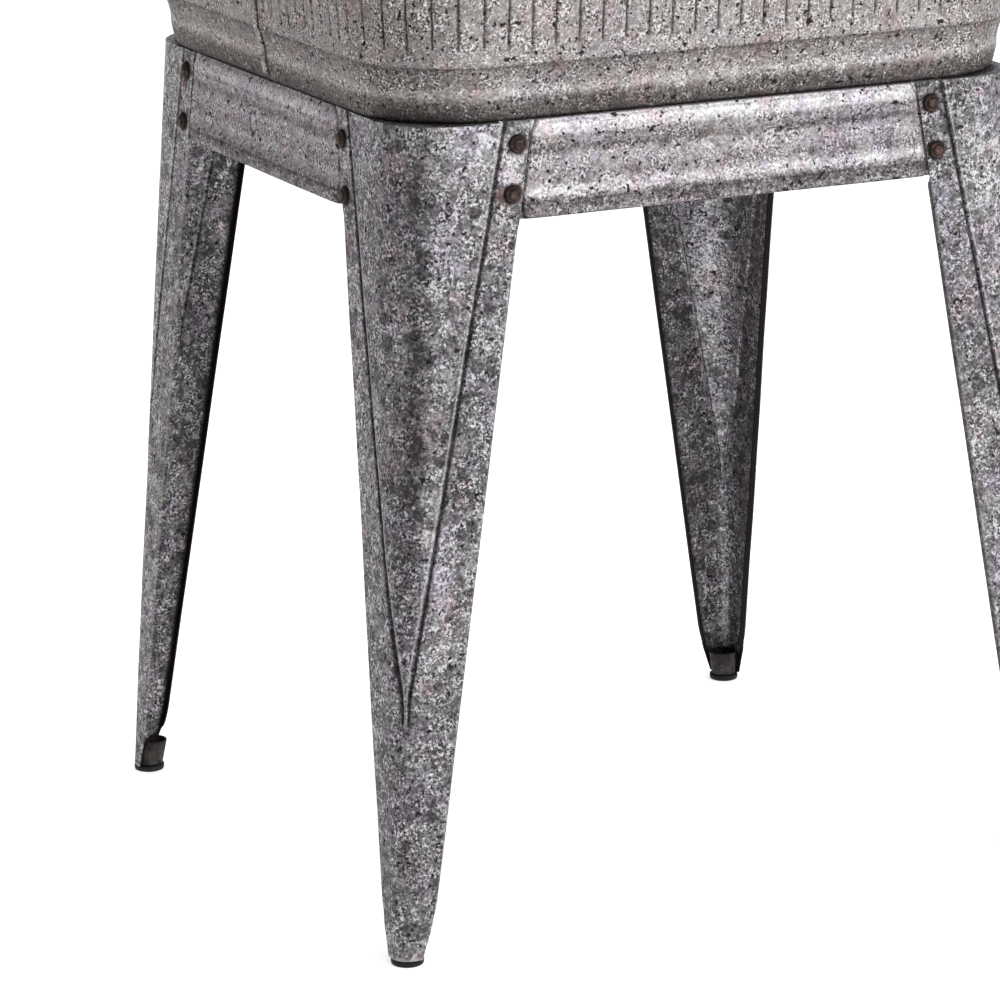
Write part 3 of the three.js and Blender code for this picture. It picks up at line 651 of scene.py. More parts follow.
def wing_stations(z, wing, lip_grime):
    """From a wing's folded edge to the far shoulder of its groove: rows of outer s, outer depth, inner s,
    inner depth, darkening (painted shade on the folded edge, dirty painted shade in the groove) and lightening
    (rubbed zinc, and a painted highlight on the groove's shoulder)."""
    edge = bend_length(wing_at(z, wing), radius_at(z))
    groove = crease_at(z, wing)
    lip = lip_at(z)
    reach = mix(STAND_SHEET, LIP_DEPTH, lip)
    bend = mix(0.5, LIP_BEND, lip)
    skin = mix(0.7, STAND_SHEET, lip)
    tight = mix(0.1, LIP_BEND - STAND_SHEET, lip)
    rows = [[edge - 0.3, reach, edge - skin + 0.3, reach, lip_grime, 0.0]]
    for k in range(4):
        outer = mix(reach - 0.3, bend, k / 3)
        inner = mix(mix(STAND_SHEET, reach - 0.3, lip), STAND_SHEET + tight, k / 3)
        rows.append([edge, outer, edge - skin - 0.1 * k * (1 - lip), inner, lip_grime, 0.0])
    for k in range(1, 7):
        angle = k / 6 * QUARTER
        outer = [edge - bend + bend * math.cos(angle), bend - bend * math.sin(angle)]
        start = edge - skin - 0.3 * (1 - lip) - 0.02 * k
        inner = [start - tight + tight * math.cos(angle), STAND_SHEET + tight * (1 - math.sin(angle))]
        fade = 1 - k / 6
        rows.append([*outer, *inner, lip_grime * fade, 0.5 * math.sin(angle * 2)])
    shoulder = groove + GROOVE_STOPS[0] * CREASE_HALF_WIDTH
    wing_steps = 15
    for k in range(1, wing_steps):
        part = k / wing_steps
        rows.append([mix(rows[10][0], shoulder, part), 0, mix(rows[10][2], shoulder, part), STAND_SHEET, 0, 0])
    fade = float(ease((z - CREASE_APEX + 8) / 8))
    inward = min(CREASE_HALF_WIDTH, 0.95 * groove / GROOVE_STOPS[0])
    # The groove is darkened across this many half widths: it is dirty and in painted shade.
    groove_darkening = 1.3 if wing == "wide" else 0.82
    for stop in GROOVE_STOPS:
        s = groove + stop * (CREASE_HALF_WIDTH if stop > 0 else inward)
        sunk = CREASE_DEPTH * fade * bell(stop, 0, 0.62)
        grime = fade * bell(stop, 0, groove_darkening, 4)
        # A painted highlight along one shoulder of the groove.
        wear = 0.8 * fade * bell(stop, -1.55, 0.3)
        rows.append([s, sunk, s, STAND_SHEET + sunk, grime, wear])
    return np.array(rows, float)


def sheet_wave(z, s):
    """Slight unevenness of hand-finished sheet, less towards the rail."""
    calm = ease((STAND_HEIGHT - RAIL_HEIGHT - z) / 60)
    wave = 0.5 * np.sin(z / 41 + s / 37 + 1.3) + 0.3 * np.sin(z / 17.3 - s / 23)
    return 0.35 * calm * (wave + 0.2 * np.sin(z / 29 + s / 11 + 2))


# Painted highlights, reflections and shade, as lighter and darker patches: height, place along the sheet, half
# height, half width, tone.
LEG_LIGHT_PATCHES = {
    "front_left": [
        (590, 40, 24, 26, 0.50), (572, 73, 26, 9, 0.70), (520, 26, 70, 14, 0.20), (520, 4, 110, 6, -0.32),
        (400, 3, 90, 5, -0.26), (450, -6, 160, 16, -0.08), (560, -30, 60, 26, -0.05),
        (430, -38, 90, 18, -0.10), (330, 0, 260, 70, -0.12), (330, 14, 70, 12, 0.18),
        (300, -2, 70, 10, -0.25), (260, 24, 60, 10, 0.30), (160, 8, 60, 9, 0.08),
        (110, -2, 100, 40, -0.16),
    ],
    "back_left": [(400, -40, 120, 20, -0.02), (300, 45, 200, 20, -0.34)],
    "back_right": [
        (500, 25, 90, 22, 0.36), (360, 8, 80, 10, 0.35), (420, -34, 160, 24, -0.25), (120, 0, 90, 60, 0.04),
    ],
    "front_right": [(540, 30, 60, 25, 0.35), (500, 0, 160, 14, -0.35), (260, -20, 60, 10, 0.25)],
}
# Painted shade: how much darker a leg's wings are beyond their grooves.
WING_SHADE = {"front_left": 0, "front_right": 0, "back_left": 0.12, "back_right": 0.36}
# Rusty spots: height, place along the sheet, size, strength.
LEG_RUST = {
    "front_left": [
        (548, 64, 9, 0.42), (512, -70, 7, 0.35), (590, 58, 6, 0.35), (310, 27, 8, 0.30),
        (584, -76, 9, 0.34),
    ],
    "back_left": [(300, -52, 9, 0.4), (215, -44, 7, 0.35), (580, -72, 15, 0.46)],
    "back_right": [(520, 50, 8, 0.3)],
    "front_right": [(545, -60, 9, 0.4), (500, 66, 7, 0.3)],
}
# Painted shade and dark reflection on the folded edges: how black they are, along the front or back and along
# the side.
LIP_SHADE = {
    "front_left": {"x": 0.85, "y": 0.75},
    "front_right": {"x": 0.8, "y": 0.6},
    "back_left": {"x": 1.3, "y": 0.45},
    "back_right": {"x": 1.3, "y": 1.3},
}


def rivet_places(name):
    """Where a leg's rivets are, as heights and places along its bent sheet."""
    places = []
    for axis, side in (("x", 1), ("y", -1)):
        wing = WINGS[name][axis]
        for drop, shift in RIVETS[axis, wing]:
            z = STAND_HEIGHT - drop
            along = (edge_place(axis, wing, drop) + groove_place(axis, wing, drop)) / 2 - shift
            places.append((z, side * bend_length(corner_at(z, axis) - along, radius_at(z))))
    return places


def leg(name):
    sign, wings = CORNERS[name], WINGS[name]
    steps = np.linspace(TIP_HEIGHT, STAND_HEIGHT, 90)
    lip_rows = [STAND_HEIGHT - RAIL_HEIGHT - 5 + k for k in range(-4, 6, 2)]
    foot_rows = [TIP_HEIGHT + k for k in range(3, 48, 3)]
    apex_rows = [CREASE_APEX + k for k in (-9, -7, -5, -3, -1, 0, 1, 3)]
    rivet_rows = np.arange(STAND_HEIGHT - RAIL_HEIGHT, STAND_HEIGHT, 1.5)
    rows = [steps, lip_rows, foot_rows, apex_rows, rivet_rows, [TIP_HEIGHT + 0.4]]
    heights = np.unique(join(rows))[::-1]
    rivet_spots = rivet_places(name)
    panel_steps = 24
    rings, paints = [], {"grime": [], "wear": [], "rust": [], "tone": []}
    for z in heights:
        side = wing_stations(z, wings["y"], LIP_SHADE[name]["y"])
        side[:, [0, 2]] *= -1
        front = wing_stations(z, wings["x"], LIP_SHADE[name]["x"])[::-1]
        panel = np.zeros((panel_steps - 1, 6))
        across = np.arange(1, panel_steps) / panel_steps
        panel[:, 0] = panel[:, 2] = mix(side[-1, 0], front[0, 0], across)
        panel[:, 3] = STAND_SHEET
        rows = np.vstack([side, panel, front])
        wave = sheet_wave(z, rows[:, 0])
        u_out, v_out = face_point(z, rows[:, 0], rows[:, 1] + wave)
        u_in, v_in = face_point(z, rows[:, 2], rows[:, 3] + wave)
        u = join([u_out, u_in[::-1]])
        v = join([v_out, v_in[::-1]])
        x = sign[0] * (corner_at(z, "x") - u)
        y = sign[1] * (corner_at(z, "y") - v)
        rings.append(np.column_stack([x, y, np.full(len(x), z)]))
        s = join([rows[:, 0], rows[::-1, 2]])
        tip = bell(z, TIP_HEIGHT, 1.6)
        side_edge, front_edge = (bend_length(wing_at(z, wings[k]), radius_at(z)) for k in "yx")
        inset = np.where(s > 0, front_edge - s, side_edge + s)
        # The folded edges are blackened on the inner skin too, as painted shade.
        lip_shade_amount = np.where(s > 0, LIP_SHADE[name]["x"], LIP_SHADE[name]["y"])
        dirt_and_shade = lip_shade_amount * bell(inset, 0, 5.2, 4)
        dirt_and_shade[: len(rows)] = rows[:, 4]
        paints["wear"].append(join([rows[:, 5], 0.3 * rows[::-1, 5]]) + 0.9 * tip)
        # Painted highlights, reflections and shade from the patches.
        tone = sum(
            amount * bell(z, at, tall) * bell(s, along, wide)
            for at, along, tall, wide, amount in LEG_LIGHT_PATCHES[name]
        )
        rust = np.zeros(len(s))
        for at, along, size, amount in LEG_RUST[name]:
            rust = np.maximum(rust, amount * bell(z, at, size) * bell(s, along, size))
        for at, along in rivet_spots:
            away = np.hypot(z - at, s - along)
            # A painted shadow in a thin ring round each rivet head, and a rust stain about it.
            dirt_and_shade = np.maximum(dirt_and_shade, 0.9 * bell(away, RIVET_HEAD + 0.2, 1))
            rust = np.maximum(rust, 0.46 * bell(away, 0, 12.5))
        creases = np.where(s > 0, crease_at(z, wings["x"]), crease_at(z, wings["y"]))
        # Painted shade on the wings beyond their grooves.
        tone = tone - WING_SHADE[name] * ease((np.abs(s) - creases) / 3)
        paints["grime"].append(dirt_and_shade)
        paints["tone"].append(tone)
        paints["rust"].append(rust)
    shell = loft(rings, **{key: join(values) for key, values in paints.items()})
    piece(f"leg_{name}", [shell, leg_ledge(sign, wings)], leg_zinc, "stand", sharp=50)


def leg_ledge(sign, wings):
    """The ledge folded inwards at the top of a leg's corner, between the ledges of its two rails."""
    ends = [2 - crease_at(STAND_HEIGHT, wings["y"]), crease_at(STAND_HEIGHT, wings["x"]) - 2]
    section = [(0.5, 0), (4, 0), (8, 0), (12, 0), (RAIL_LEDGE - 0.4, 0), (RAIL_LEDGE, -0.4)]
    section += [(RAIL_LEDGE, 0.4 - STAND_SHEET), (RAIL_LEDGE - 0.4, -STAND_SHEET), (0.5, -STAND_SHEET)]
    # Painted shadow of the tub on the ledge: none at its outer edge, near-black further in.
    dirt_and_shade = [0, 0.1, 0.85, 1, 1, 1, 1, 1, 1]
    rings = []
    for s in np.linspace(*ends, 33):
        points = []
        for depth, up in section:
            u, v = face_point(STAND_HEIGHT, s, depth)
            x = sign[0] * (corner_at(STAND_HEIGHT, "x") - u)
            y = sign[1] * (corner_at(STAND_HEIGHT, "y") - v)
            points.append((x, y, STAND_HEIGHT - 0.02 + up))
        rings.append(points)
    return loft(rings, grime=np.tile(dirt_and_shade, len(rings)))


# ---- Rails
# A rail is made in a frame of its own: x along it, outward along -Y, z down from the rail top.

BEAD_KEYS = [
    (0, 0.0), (1.2, 0.2), (5, 0.7), (10, 1.0), (15, 0.9), (20.5, 0.25), (24, 0.0), (26, 0.0), (46, 0.0),
    (48, 0.0), (51, 0.35), (54.5, 0.88), (57, 0.98), (60, 0.95), (64, 0.75), (67, 0.5), (69, 0.3),
]
# Painted highlights on the top and lower beads, darker in the hollow and at the bottom: drop, tone.
RAIL_LIGHT_KEYS = [
    (0, 0.50), (8, 0.55), (10.5, 0.40), (12, 0.05), (17, -0.12), (22, -0.25), (26, 0.03), (46, 0.10),
    (48.5, 0.35), (53, 0.30), (55.5, -0.15), (69, -0.25),
]
DIMPLE = {"from_middle": 25.7, "drop": 35, "half_width": 5.6, "half_height": 7.8}


def rail_lean(axis):
    across = "y" if axis == "x" else "x"
    return (FLOOR_HALF[across] - TOP_HALF[across]) / STAND_HEIGHT


def edge_place(axis, wing, drop):
    """Distance from the middle of a rail to the edge of the leg wing over its end."""
    z = STAND_HEIGHT - drop
    return corner_at(z, axis) - wing_at(z, wing)


def groove_place(axis, wing, drop):
    """The same to the near shoulder of that wing's groove."""
    z = STAND_HEIGHT - drop
    return corner_at(z, axis) - crease_width_at(z, wing) - CREASE_HALF_WIDTH


def rail_section():
    """The rail's outer skin from the ledge to the bottom fold, as rows of out, drop and bead swell."""
    rows = [[mix(-RAIL_LEDGE, -1.6, k / 5), 0, 0] for k in range(6)]
    for k in range(1, 5):
        angle = k / 4 * QUARTER
        rows.append([-1.6 + 1.5 * math.sin(angle), 1.5 - 1.5 * math.cos(angle), 0])
    drops = join([np.arange(2.5, 26, 1.25), np.arange(26, 47, 1.1), np.arange(47, 68.2, 0.8)])
    for drop in drops:
        line = 0.14 * bell(drop, 57.8, 0.7)
        rows.append([0, drop, float(smooth_keys(drop, BEAD_KEYS)) - line])
    rows.append([-0.4, RAIL_HEIGHT - 0.25, 0.35])
    for k in range(4):
        rows.append([mix(-1.1, -1 - RAIL_RETURN, k / 3), RAIL_HEIGHT, 0.3])
    return np.array(rows, float)


def rail_grime(drop, out, edge_gap):
    """Darker in the hollow below the top bead, along the lower bead's line and at the bottom fold; a painted
    shadow where the ledge meets the tub, and painted shadows in the gaps at the joggled ends.
    """
    hollow = 0.30 * bell(drop, 21.5, 3)
    line = 0.55 * bell(drop, 57.8, 0.8)
    foot = 0.55 * bell(drop, RAIL_HEIGHT, 1.5)
    ledge = 0.85 * ease((-out - 1.2) / 1.5) * (drop < 1)
    joggle = np.full(len(drop), 0.95 * bell(edge_gap, 0.2, 0.7))
    return np.clip(np.maximum.reduce([hollow, line, foot, ledge, joggle]), 0, 1)


def rail_end(axis, wing, drop):
    """A rail's end on its +x side, as places along it with their distance inside the joggle."""
    slant = RAIL_CHAMFER[axis] * np.clip(1 - np.minimum(drop, RAIL_HEIGHT - drop) / 9, 0, 1)
    jog = np.array([edge_place(axis, wing, d) for d in drop]) - 0.8 - slant
    tab = np.array([groove_place(axis, wing, d) for d in drop]) - 1
    inside = [0, 0.5, 1.0, 1.5, 2, 3.5, 5, 7, 9, 12, 15, 18]
    return [(tab, -4.0), (jog + 0.8, -0.8)] + [(jog - gap, gap) for gap in inside]


def rail_shell(axis, plus_wing, minus_wing, dimple_x):
    lean = rail_lean(axis)
    out, drop, swell = rail_section().T
    set_back = STAND_SHEET + FIT_GAP
    plus = rail_end(axis, plus_wing, drop)
    minus = [(-x, gap) for x, gap in rail_end(axis, minus_wing, drop)]
    low, high = float(np.max(minus[-1][0])), float(np.min(plus[-1][0]))
    even = np.linspace(high, low, 48)[1:-1]
    close = np.arange(10, -10.5, -1.0) + dimple_x
    centre = np.sort(join([even[np.abs(even - dimple_x) > 10.6], close]))[::-1]
    stations = [*plus]
    stations += [(np.full(len(drop), x), 18 + min(high - x, x - low)) for x in centre]
    stations += minus[::-1]
    rings, grimes, tones, wears = [], [], [], []
    for x, gap in stations:
        back = set_back * (1 - float(ease(gap / 2)))
        bead = float(smooth_keys(min(max(gap, 0), 18), [(0, 0), (2, 0.1), (9, 0.8), (18, 1)]))
        wave = 0.25 * np.sin(x / 31 + drop / 19) * min(max(gap / 30, 0), 1)
        oval = np.hypot((x - dimple_x) / DIMPLE["half_width"], (drop - DIMPLE["drop"]) / DIMPLE["half_height"])
        ring = 0.55 * bell(oval, 1, 0.2) if dimple_x else np.zeros(len(drop))
        proud = out - back + swell * bead * RAIL_BEAD - (wave + ring) * (out > -1)
        outer = np.column_stack([proud, -drop])
        inner = offset_path(outer, STAND_SHEET)
        skins = np.vstack([outer, inner[::-1]])
        along = join([x, x[::-1]])
        rings.append(np.column_stack([along, -(skins[:, 0] - skins[:, 1] * lean), skins[:, 1]]))
        dirt_and_shade = np.maximum(rail_grime(drop, out, gap), 0.85 * ring / 0.55)
        grimes.append(join([dirt_and_shade, 0.3 * dirt_and_shade[::-1]]))
        # Painted light and shade down the rail; the side rails are painted darker all over, as shade.
        shade = smooth_keys(drop, RAIL_LIGHT_KEYS) - (0.18 if axis == "y" else 0)
        tones.append(join([shade, shade[::-1] * 0.3]))
        wears.append(join([0.25 * (oval < 0.8) * bool(dimple_x), np.zeros(len(drop))]))
    return loft(rings, grime=join(grimes), tone=join(tones), wear=join(wears))


# name: axis, turn in degrees, corner at its +x end, corner at its -x end, dimple along it
RAILS = {
    "front": ("x", 0, "right", "left", 0),
    "back": ("x", 180, "left", "right", 0),
    "left": ("y", -90, "front", "back", -DIMPLE["from_middle"]),
    "right": ("y", 90, "back", "front", DIMPLE["from_middle"]),
}
# Rusty spots on the rails: x, y, z, radius, strength.
RAIL_RUST = [
    (-118, -241, 601, 6, 0.35), (-30, -241, 597, 5, 0.30), (60, -241, 534, 8, 0.30),
    (-140, -241, 533, 8, 0.40), (-255, -60, 533, 9, 0.40), (-255, 60, 598, 7, 0.30),
]


def rail_place(axis, turn):
    """Where a rail's own frame lies."""
    angle = math.radians(turn)
    away = TOP_HALF["y" if axis == "x" else "x"]
    place = move(away * math.sin(angle), -away * math.cos(angle), STAND_HEIGHT)
    return place @ spin(angle, "Z")


def rivet_shell(shank, head, grip, sides):
    """A rivet about +Y with its domed head at -Y: the sheets lie between y = 0 and y = grip."""
    dome = head * 0.55
    profile = [(0, FIT_GAP + dome * 0.98)]
    for k in range(1, 6):
        part = k / 6
        profile.append((head * 0.50 * part, FIT_GAP + dome * (0.98 - 0.12 * part * part)))
    profile += [
        (head * 0.52, FIT_GAP + dome * 0.78), (head * 0.56, FIT_GAP + dome * 0.66),
        (head * 0.62, FIT_GAP + dome * 0.64), (head * 0.72, FIT_GAP + dome * 0.60),
        (head * 0.84, FIT_GAP + dome * 0.44), (head * 0.93, FIT_GAP + dome * 0.24),
        (head * 0.985, FIT_GAP + dome * 0.06), (head, FIT_GAP), (shank, FIT_GAP), (shank, -grip - FIT_GAP),
        (shank * 1.6, -grip - FIT_GAP), (shank * 1.5, -grip - FIT_GAP - shank * 0.3),
        (0, -grip - FIT_GAP - shank * 0.6),
    ]
    shell = lathe(profile, sides)
    radius = np.hypot(shell.points[:, 0], shell.points[:, 1])
    front = shell.points[:, 2] > 0
    shell.wear = front * (0.14 * (radius < head * 0.51) + 0.10 * bell(radius / head, 0.74, 0.1))
    # A dark line at the step on the dome, and a painted shadow round the rim of the head where it meets the
    # sheet.
    ring = bell(radius / head, 0.575, 0.06)
    shell.grime = front * np.maximum(0.85 * ring, 0.97 * ease((radius / head - 0.80) / 0.08))
    return shell.moved(spin(QUARTER, "X"))


def rails():
    for name, (axis, turn, plus_end, minus_end, dimple) in RAILS.items():
        place = rail_place(axis, turn)
        ends = {}
        for side, end in ((1, plus_end), (-1, minus_end)):
            corner = f"{name}_{end}" if axis == "x" else f"{end}_{name}"
            ends[side] = WINGS[corner][axis]
        shell = rail_shell(axis, ends[1], ends[-1], dimple).moved(place)
        shell.rust = spots(shell.points, RAIL_RUST)
        piece(f"rail_{name}", [shell], rail_zinc, "stand", sharp=50)
        tilt = spin(-math.atan(rail_lean(axis)), "X")
        grip = 2 * STAND_SHEET + FIT_GAP
        for side, end in ((1, plus_end), (-1, minus_end)):
            wing = ends[side]
            for (drop, shift), level in zip(RIVETS[axis, wing], ("upper", "lower")):
                along = (edge_place(axis, wing, drop) + groove_place(axis, wing, drop)) / 2 - shift
                spot = move(side * along, -drop * rail_lean(axis), -drop)
                rivet = rivet_shell(RIVET_SHANK, RIVET_HEAD, grip, 28).moved(place @ spot @ tilt)
                piece(f"rivet_{name}_rail_{end}_{level}", [rivet], rivet_rust, "stand")


# ---- Feet


def feet():
    stem_hole = 4.9
    wall = 1.6
    low, high = (radius_at(TIP_HEIGHT + k) - STAND_SHEET - 1.1 for k in (0, PLUG_HEIGHT))
    cup = [
        (stem_hole, TIP_HEIGHT), (low - 1, TIP_HEIGHT), (low - 0.3, TIP_HEIGHT + 0.3),
        (low, TIP_HEIGHT + 1), (mix(low, high, 0.5), TIP_HEIGHT + PLUG_HEIGHT / 2),
        (high, TIP_HEIGHT + PLUG_HEIGHT - 0.3), (high - 0.3, TIP_HEIGHT + PLUG_HEIGHT),
        (high - wall + 0.3, TIP_HEIGHT + PLUG_HEIGHT), (high - wall, TIP_HEIGHT + PLUG_HEIGHT - 0.3),
        (low - wall, TIP_HEIGHT + 3), (low - wall - 0.7, TIP_HEIGHT + 2), (stem_hole, TIP_HEIGHT + 2),
    ]
    top = TIP_HEIGHT - FIT_GAP
    stem = 3.5
    puck = [
        (0, 0), (GLIDE_RADIUS - 1.2, 0), (GLIDE_RADIUS - 0.5, 0.4), (GLIDE_RADIUS, 1.4),
        (GLIDE_RADIUS, top - 0.6), (GLIDE_RADIUS - 0.2, top - 0.2), (GLIDE_RADIUS - 0.6, top), (stem, top),
        (stem, TIP_HEIGHT + 8), (stem - 0.8, TIP_HEIGHT + 8.7), (0, TIP_HEIGHT + 9),
    ]
    for name, (x, y) in CORNERS.items():
        across = FLOOR_HALF["x"] - CORNER_RADIUS_FLOOR
        deep = FLOOR_HALF["y"] - CORNER_RADIUS_FLOOR
        place = move(x * across, y * deep, 0)
        lean = Matrix.Identity(4)
        lean[0][2], lean[1][2] = -x * centre_lean("x"), -y * centre_lean("y")
        shell = lathe(cup, 40, closed=True).moved(place @ lean)
        shell.grime = 0.5 * ease((shell.points[:, 2] - TIP_HEIGHT - PLUG_HEIGHT + 6) / 6)
        piece(f"foot_plug_{name}", [shell], plug_steel, "stand")
        piece(f"glide_{name}", [lathe(puck, 40).moved(place)], glide_plastic, "stand")


# ---- Tub

# Outside of the wall as (out, up) from the foot of the tub: turned in at the very foot, then two swept steps
# up to the straight flare.
WALL_FOOT = [
    (-0.6, 0.35), (0.5, 0.65), (1.5, 1.7), (2.2, 3.4), (2.8, 5.6), (3.5, 8.4), (4.15, 11.4), (4.6, 13.8),
    (4.95, 15.6), (5.1, 17.4), (5.15, 19.4), (5.15, 21.6), (5.3, 23.6), (5.75, 26), (7.0, 30.5), (8.4, 35),
    (9.5, 38.4), (10.05, 39.9), (10.5, 40.9), (10.75, 42.6), (10.85, 46), (11.15, 50.5), (11.6, 55),
]
RIM_CENTRE = TUB_DEPTH - RIM_RADIUS


def wall_out(height):
    """How far the CAD wall's outside stands out from the foot."""
    out, up = WALL_FOOT[-1]
    return out + TUB_FLARE * (height - up)


RIM_OUT = wall_out(RIM_CENTRE) - TUB_SHEET + RIM_RADIUS


def wall_section():
    """The wall's inner skin from the pan up and round the rolled rim, and the outer one facing it."""
    straight_end = RIM_CENTRE - 3
    heights = [56.5, 58, 61, 66, *range(76, FLUTE_TOP - 10, 15)]
    heights += [FLUTE_TOP - 8, FLUTE_TOP - 4, FLUTE_TOP - 1, FLUTE_TOP + 3, 236, straight_end]
    foot = [*WALL_FOOT[:-1], (11.35, 52.4), (11.48, 53.8), (11.6, 55.2)]
    outside = foot + [(wall_out(h), h) for h in heights]
    inside = offset_path(outside, -TUB_SHEET)
    roll = []
    for k in range(21):
        angle = math.pi - k / 20 * 1.6 * math.pi
        roll.append((RIM_OUT + RIM_RADIUS * math.cos(angle), RIM_CENTRE + RIM_RADIUS * math.sin(angle)))
    path = np.vstack([inside, roll])
    return np.vstack([path, offset_path(path, TUB_SHEET)[::-1]])


def half_outline():
    """Places round the front half of the tub, from the left seam by the front to the right seam, as rows of
    x, y, outward x, outward y and how deep a flute groove is there."""
    reach = FLUTE_PITCH["front"]
    corner_length = (TUB_CORNER + WALL_FOOT[-1][0]) * QUARTER
    straight_x = TUB_HALF["x"] - TUB_CORNER
    straight_y = TUB_HALF["y"] - TUB_CORNER
    rows = []
    for side in (-1, 1):
        first = FLUTE_FIRST if side > 0 else reach - FLUTE_FIRST
        corner_end = straight_x + corner_length
        grooves = list(np.arange(first, corner_end + reach * 0.4, reach))
        last = corner_end + straight_y - SEAM_LAP - 7
        while grooves[-1] + FLUTE_PITCH["side"] < last:
            grooves.append(grooves[-1] + FLUTE_PITCH["side"])
        marks = {0.0, corner_end + straight_y - FIT_GAP / 2}
        for groove in grooves:
            marks.update(groove + k for k in (-1.7, -1.1, -0.55, 0, 0.55, 1.1, 1.7))
        for start, end in zip(grooves, grooves[1:]):
            marks.update(mix(start + 1.7, end - 1.7, k / 4) for k in (1, 2, 3))
        marks.update((0.5 * (grooves[0] - 1.7), grooves[-1] + 5, grooves[-1] + 8))
        half = []
        for mark in sorted(marks):
            if mark < 0:
                continue
            near = min(abs(mark - groove) for groove in grooves)
            fluted = ease(1 - near / FLUTE_HALF_WIDTH)
            if mark <= straight_x:
                place = (mark, -TUB_HALF["y"], 0, -1)
            elif mark <= corner_end:
                angle = (mark - straight_x) / corner_length * QUARTER
                out = (math.sin(angle), -math.cos(angle))
                place = (straight_x + TUB_CORNER * out[0], -straight_y + TUB_CORNER * out[1], *out)
            else:
                place = (TUB_HALF["x"], -straight_y + mark - corner_end, 1, 0)
            half.append([side * place[0], place[1], side * place[2], place[3], float(fluted)])
        rows += half[::-1] if side < 0 else half[1:]
    return np.array(rows, float)


# How much lighter or darker each height of the foot is, with the light on its upward-facing parts.
BAND_TONES = [
    (0, -0.70), (8, -0.55), (13, -0.40), (16.5, -0.10), (19, 0.22), (23, 0.20), (26.5, -0.04), (32, -0.06),
    (39, -0.22), (42, 0.12), (48, 0.16), (56, 0.02), (70, 0.0),
]


def tub_half():
    section = wall_section()
    out, up = section.T
    outline = half_outline()
    in_flute = ease((up - FLUTE_BOTTOM + 2) / 3) * ease((FLUTE_TOP + 2 - up) / 4)
    outer_skin = np.arange(len(up)) >= len(up) // 2
    # Painted shadow along the very foot of the tub, where it stands on the ledge.
    contact_shadow = ease((4.4 - up) / 3.2) * outer_skin
    # A painted highlight along the bead round the foot.
    bead_highlight = 0.22 * bell(up, 20, 3.2) * outer_skin
    # A painted shadow under the step at the top of the foot, and a fainter dark line just below it.
    step = 0.80 * bell(up, 39.6, 1) * outer_skin
    step += 0.22 * bell(up, 36.6, 0.8) * outer_skin
    bands = smooth_keys(up, BAND_TONES)
    ends = bell(up, FLUTE_BOTTOM + 0.8, 1.6) * outer_skin
    rings, grime, wear, tone = [], [], [], []
    for x, y, out_x, out_y, fluted in outline:
        sunk = out - FLUTE_DEPTH * fluted * in_flute
        rings.append(np.column_stack([x + out_x * sunk, y + out_y * sunk, STAND_HEIGHT + up]))
        groove = fluted * in_flute
        # Painted shadows at the foot and the step; dirty painted shade in the flute grooves, darker at their
        # lower ends.
        dirt_and_shade = np.maximum.reduce([0.95 * contact_shadow, step, 0.9 * groove**1.5, ends * fluted])
        grime.append(dirt_and_shade * np.where(outer_skin, 1, 0.2))
        wear.append(bead_highlight)
        # Tone: lighter on the staves of the fluted band, the foot's painted light and shade by height, and
        # painted shade round the corners and on the short sides.
        corner = 0.22 * (2 * abs(out_x * out_y)) ** 2
        tone.append(0.16 * (1 - fluted) * in_flute + bands - corner - 0.22 * out_x**4)
    shell = loft(rings, grime=join(grime), wear=join(wear), tone=join(tone))
    return [shell, seam_strip()]


def seam_strip():
    """The lock seam at the right-hand end of a half, laid over the start of the other half."""
    lift = FIT_GAP + TUB_SHEET
    heights = [up for _, up in WALL_FOOT if up > 4]
    heights += [60, 90, 130, 170, 210, 240, RIM_CENTRE - RIM_RADIUS - 3]
    stops = [-SEAM_LAP / 2, -0.2, 0.3, SEAM_LAP / 2, SEAM_LAP - 0.5, SEAM_LAP]
    lifts = [0.15, lift - 0.4, lift, lift, lift, lift - 0.5]
    lows = [-TUB_SHEET / 2, -TUB_SHEET / 2, FIT_GAP, FIT_GAP, FIT_GAP, FIT_GAP]
    foot_up = [up for _, up in WALL_FOOT]
    foot_out = [out for out, _ in WALL_FOOT]
    rings, grime = [], []
    for h in heights:
        face = TUB_HALF["x"] + (np.interp(h, foot_up, foot_out) if h < 55 else wall_out(h))
        outer = [(face + high, y, STAND_HEIGHT + h) for y, high in zip(stops, lifts)]
        inner = [(face + low, y, STAND_HEIGHT + h) for y, low in zip(stops, lows)]
        rings.append(outer + inner[::-1])
        grime.append([0.5, 0.2, 0, 0, 0.3, 0.9] + [0.9, 0.4, 0, 0, 0, 0])
    return loft(rings, grime=join(grime))


def tub_walls():
    piece("tub_wall_front", tub_half(), tub_zinc, "tub", sharp=55)
    turn = spin(math.pi, "Z")
    back = [shell.moved(turn) for shell in tub_half()]
    piece("tub_wall_back", back, tub_zinc, "tub", sharp=55)


def rounded_outline(half_x, half_y, radius, steps):
    """A rectangle with rounded corners, whose corner centres are at those half sizes."""
    points = []
    for k, (i, j) in enumerate([(1, 1), (-1, 1), (-1, -1), (1, -1)]):
        for step in range(steps + 1):
            angle = (k + step / steps) * QUARTER
            points.append((i * half_x + radius * math.cos(angle), j * half_y + radius * math.sin(angle)))
    return points


def pan_outline(inset):
    return rounded_outline(TUB_HALF["x"] - TUB_CORNER, TUB_HALF["y"] - TUB_CORNER, TUB_CORNER - inset, 20)


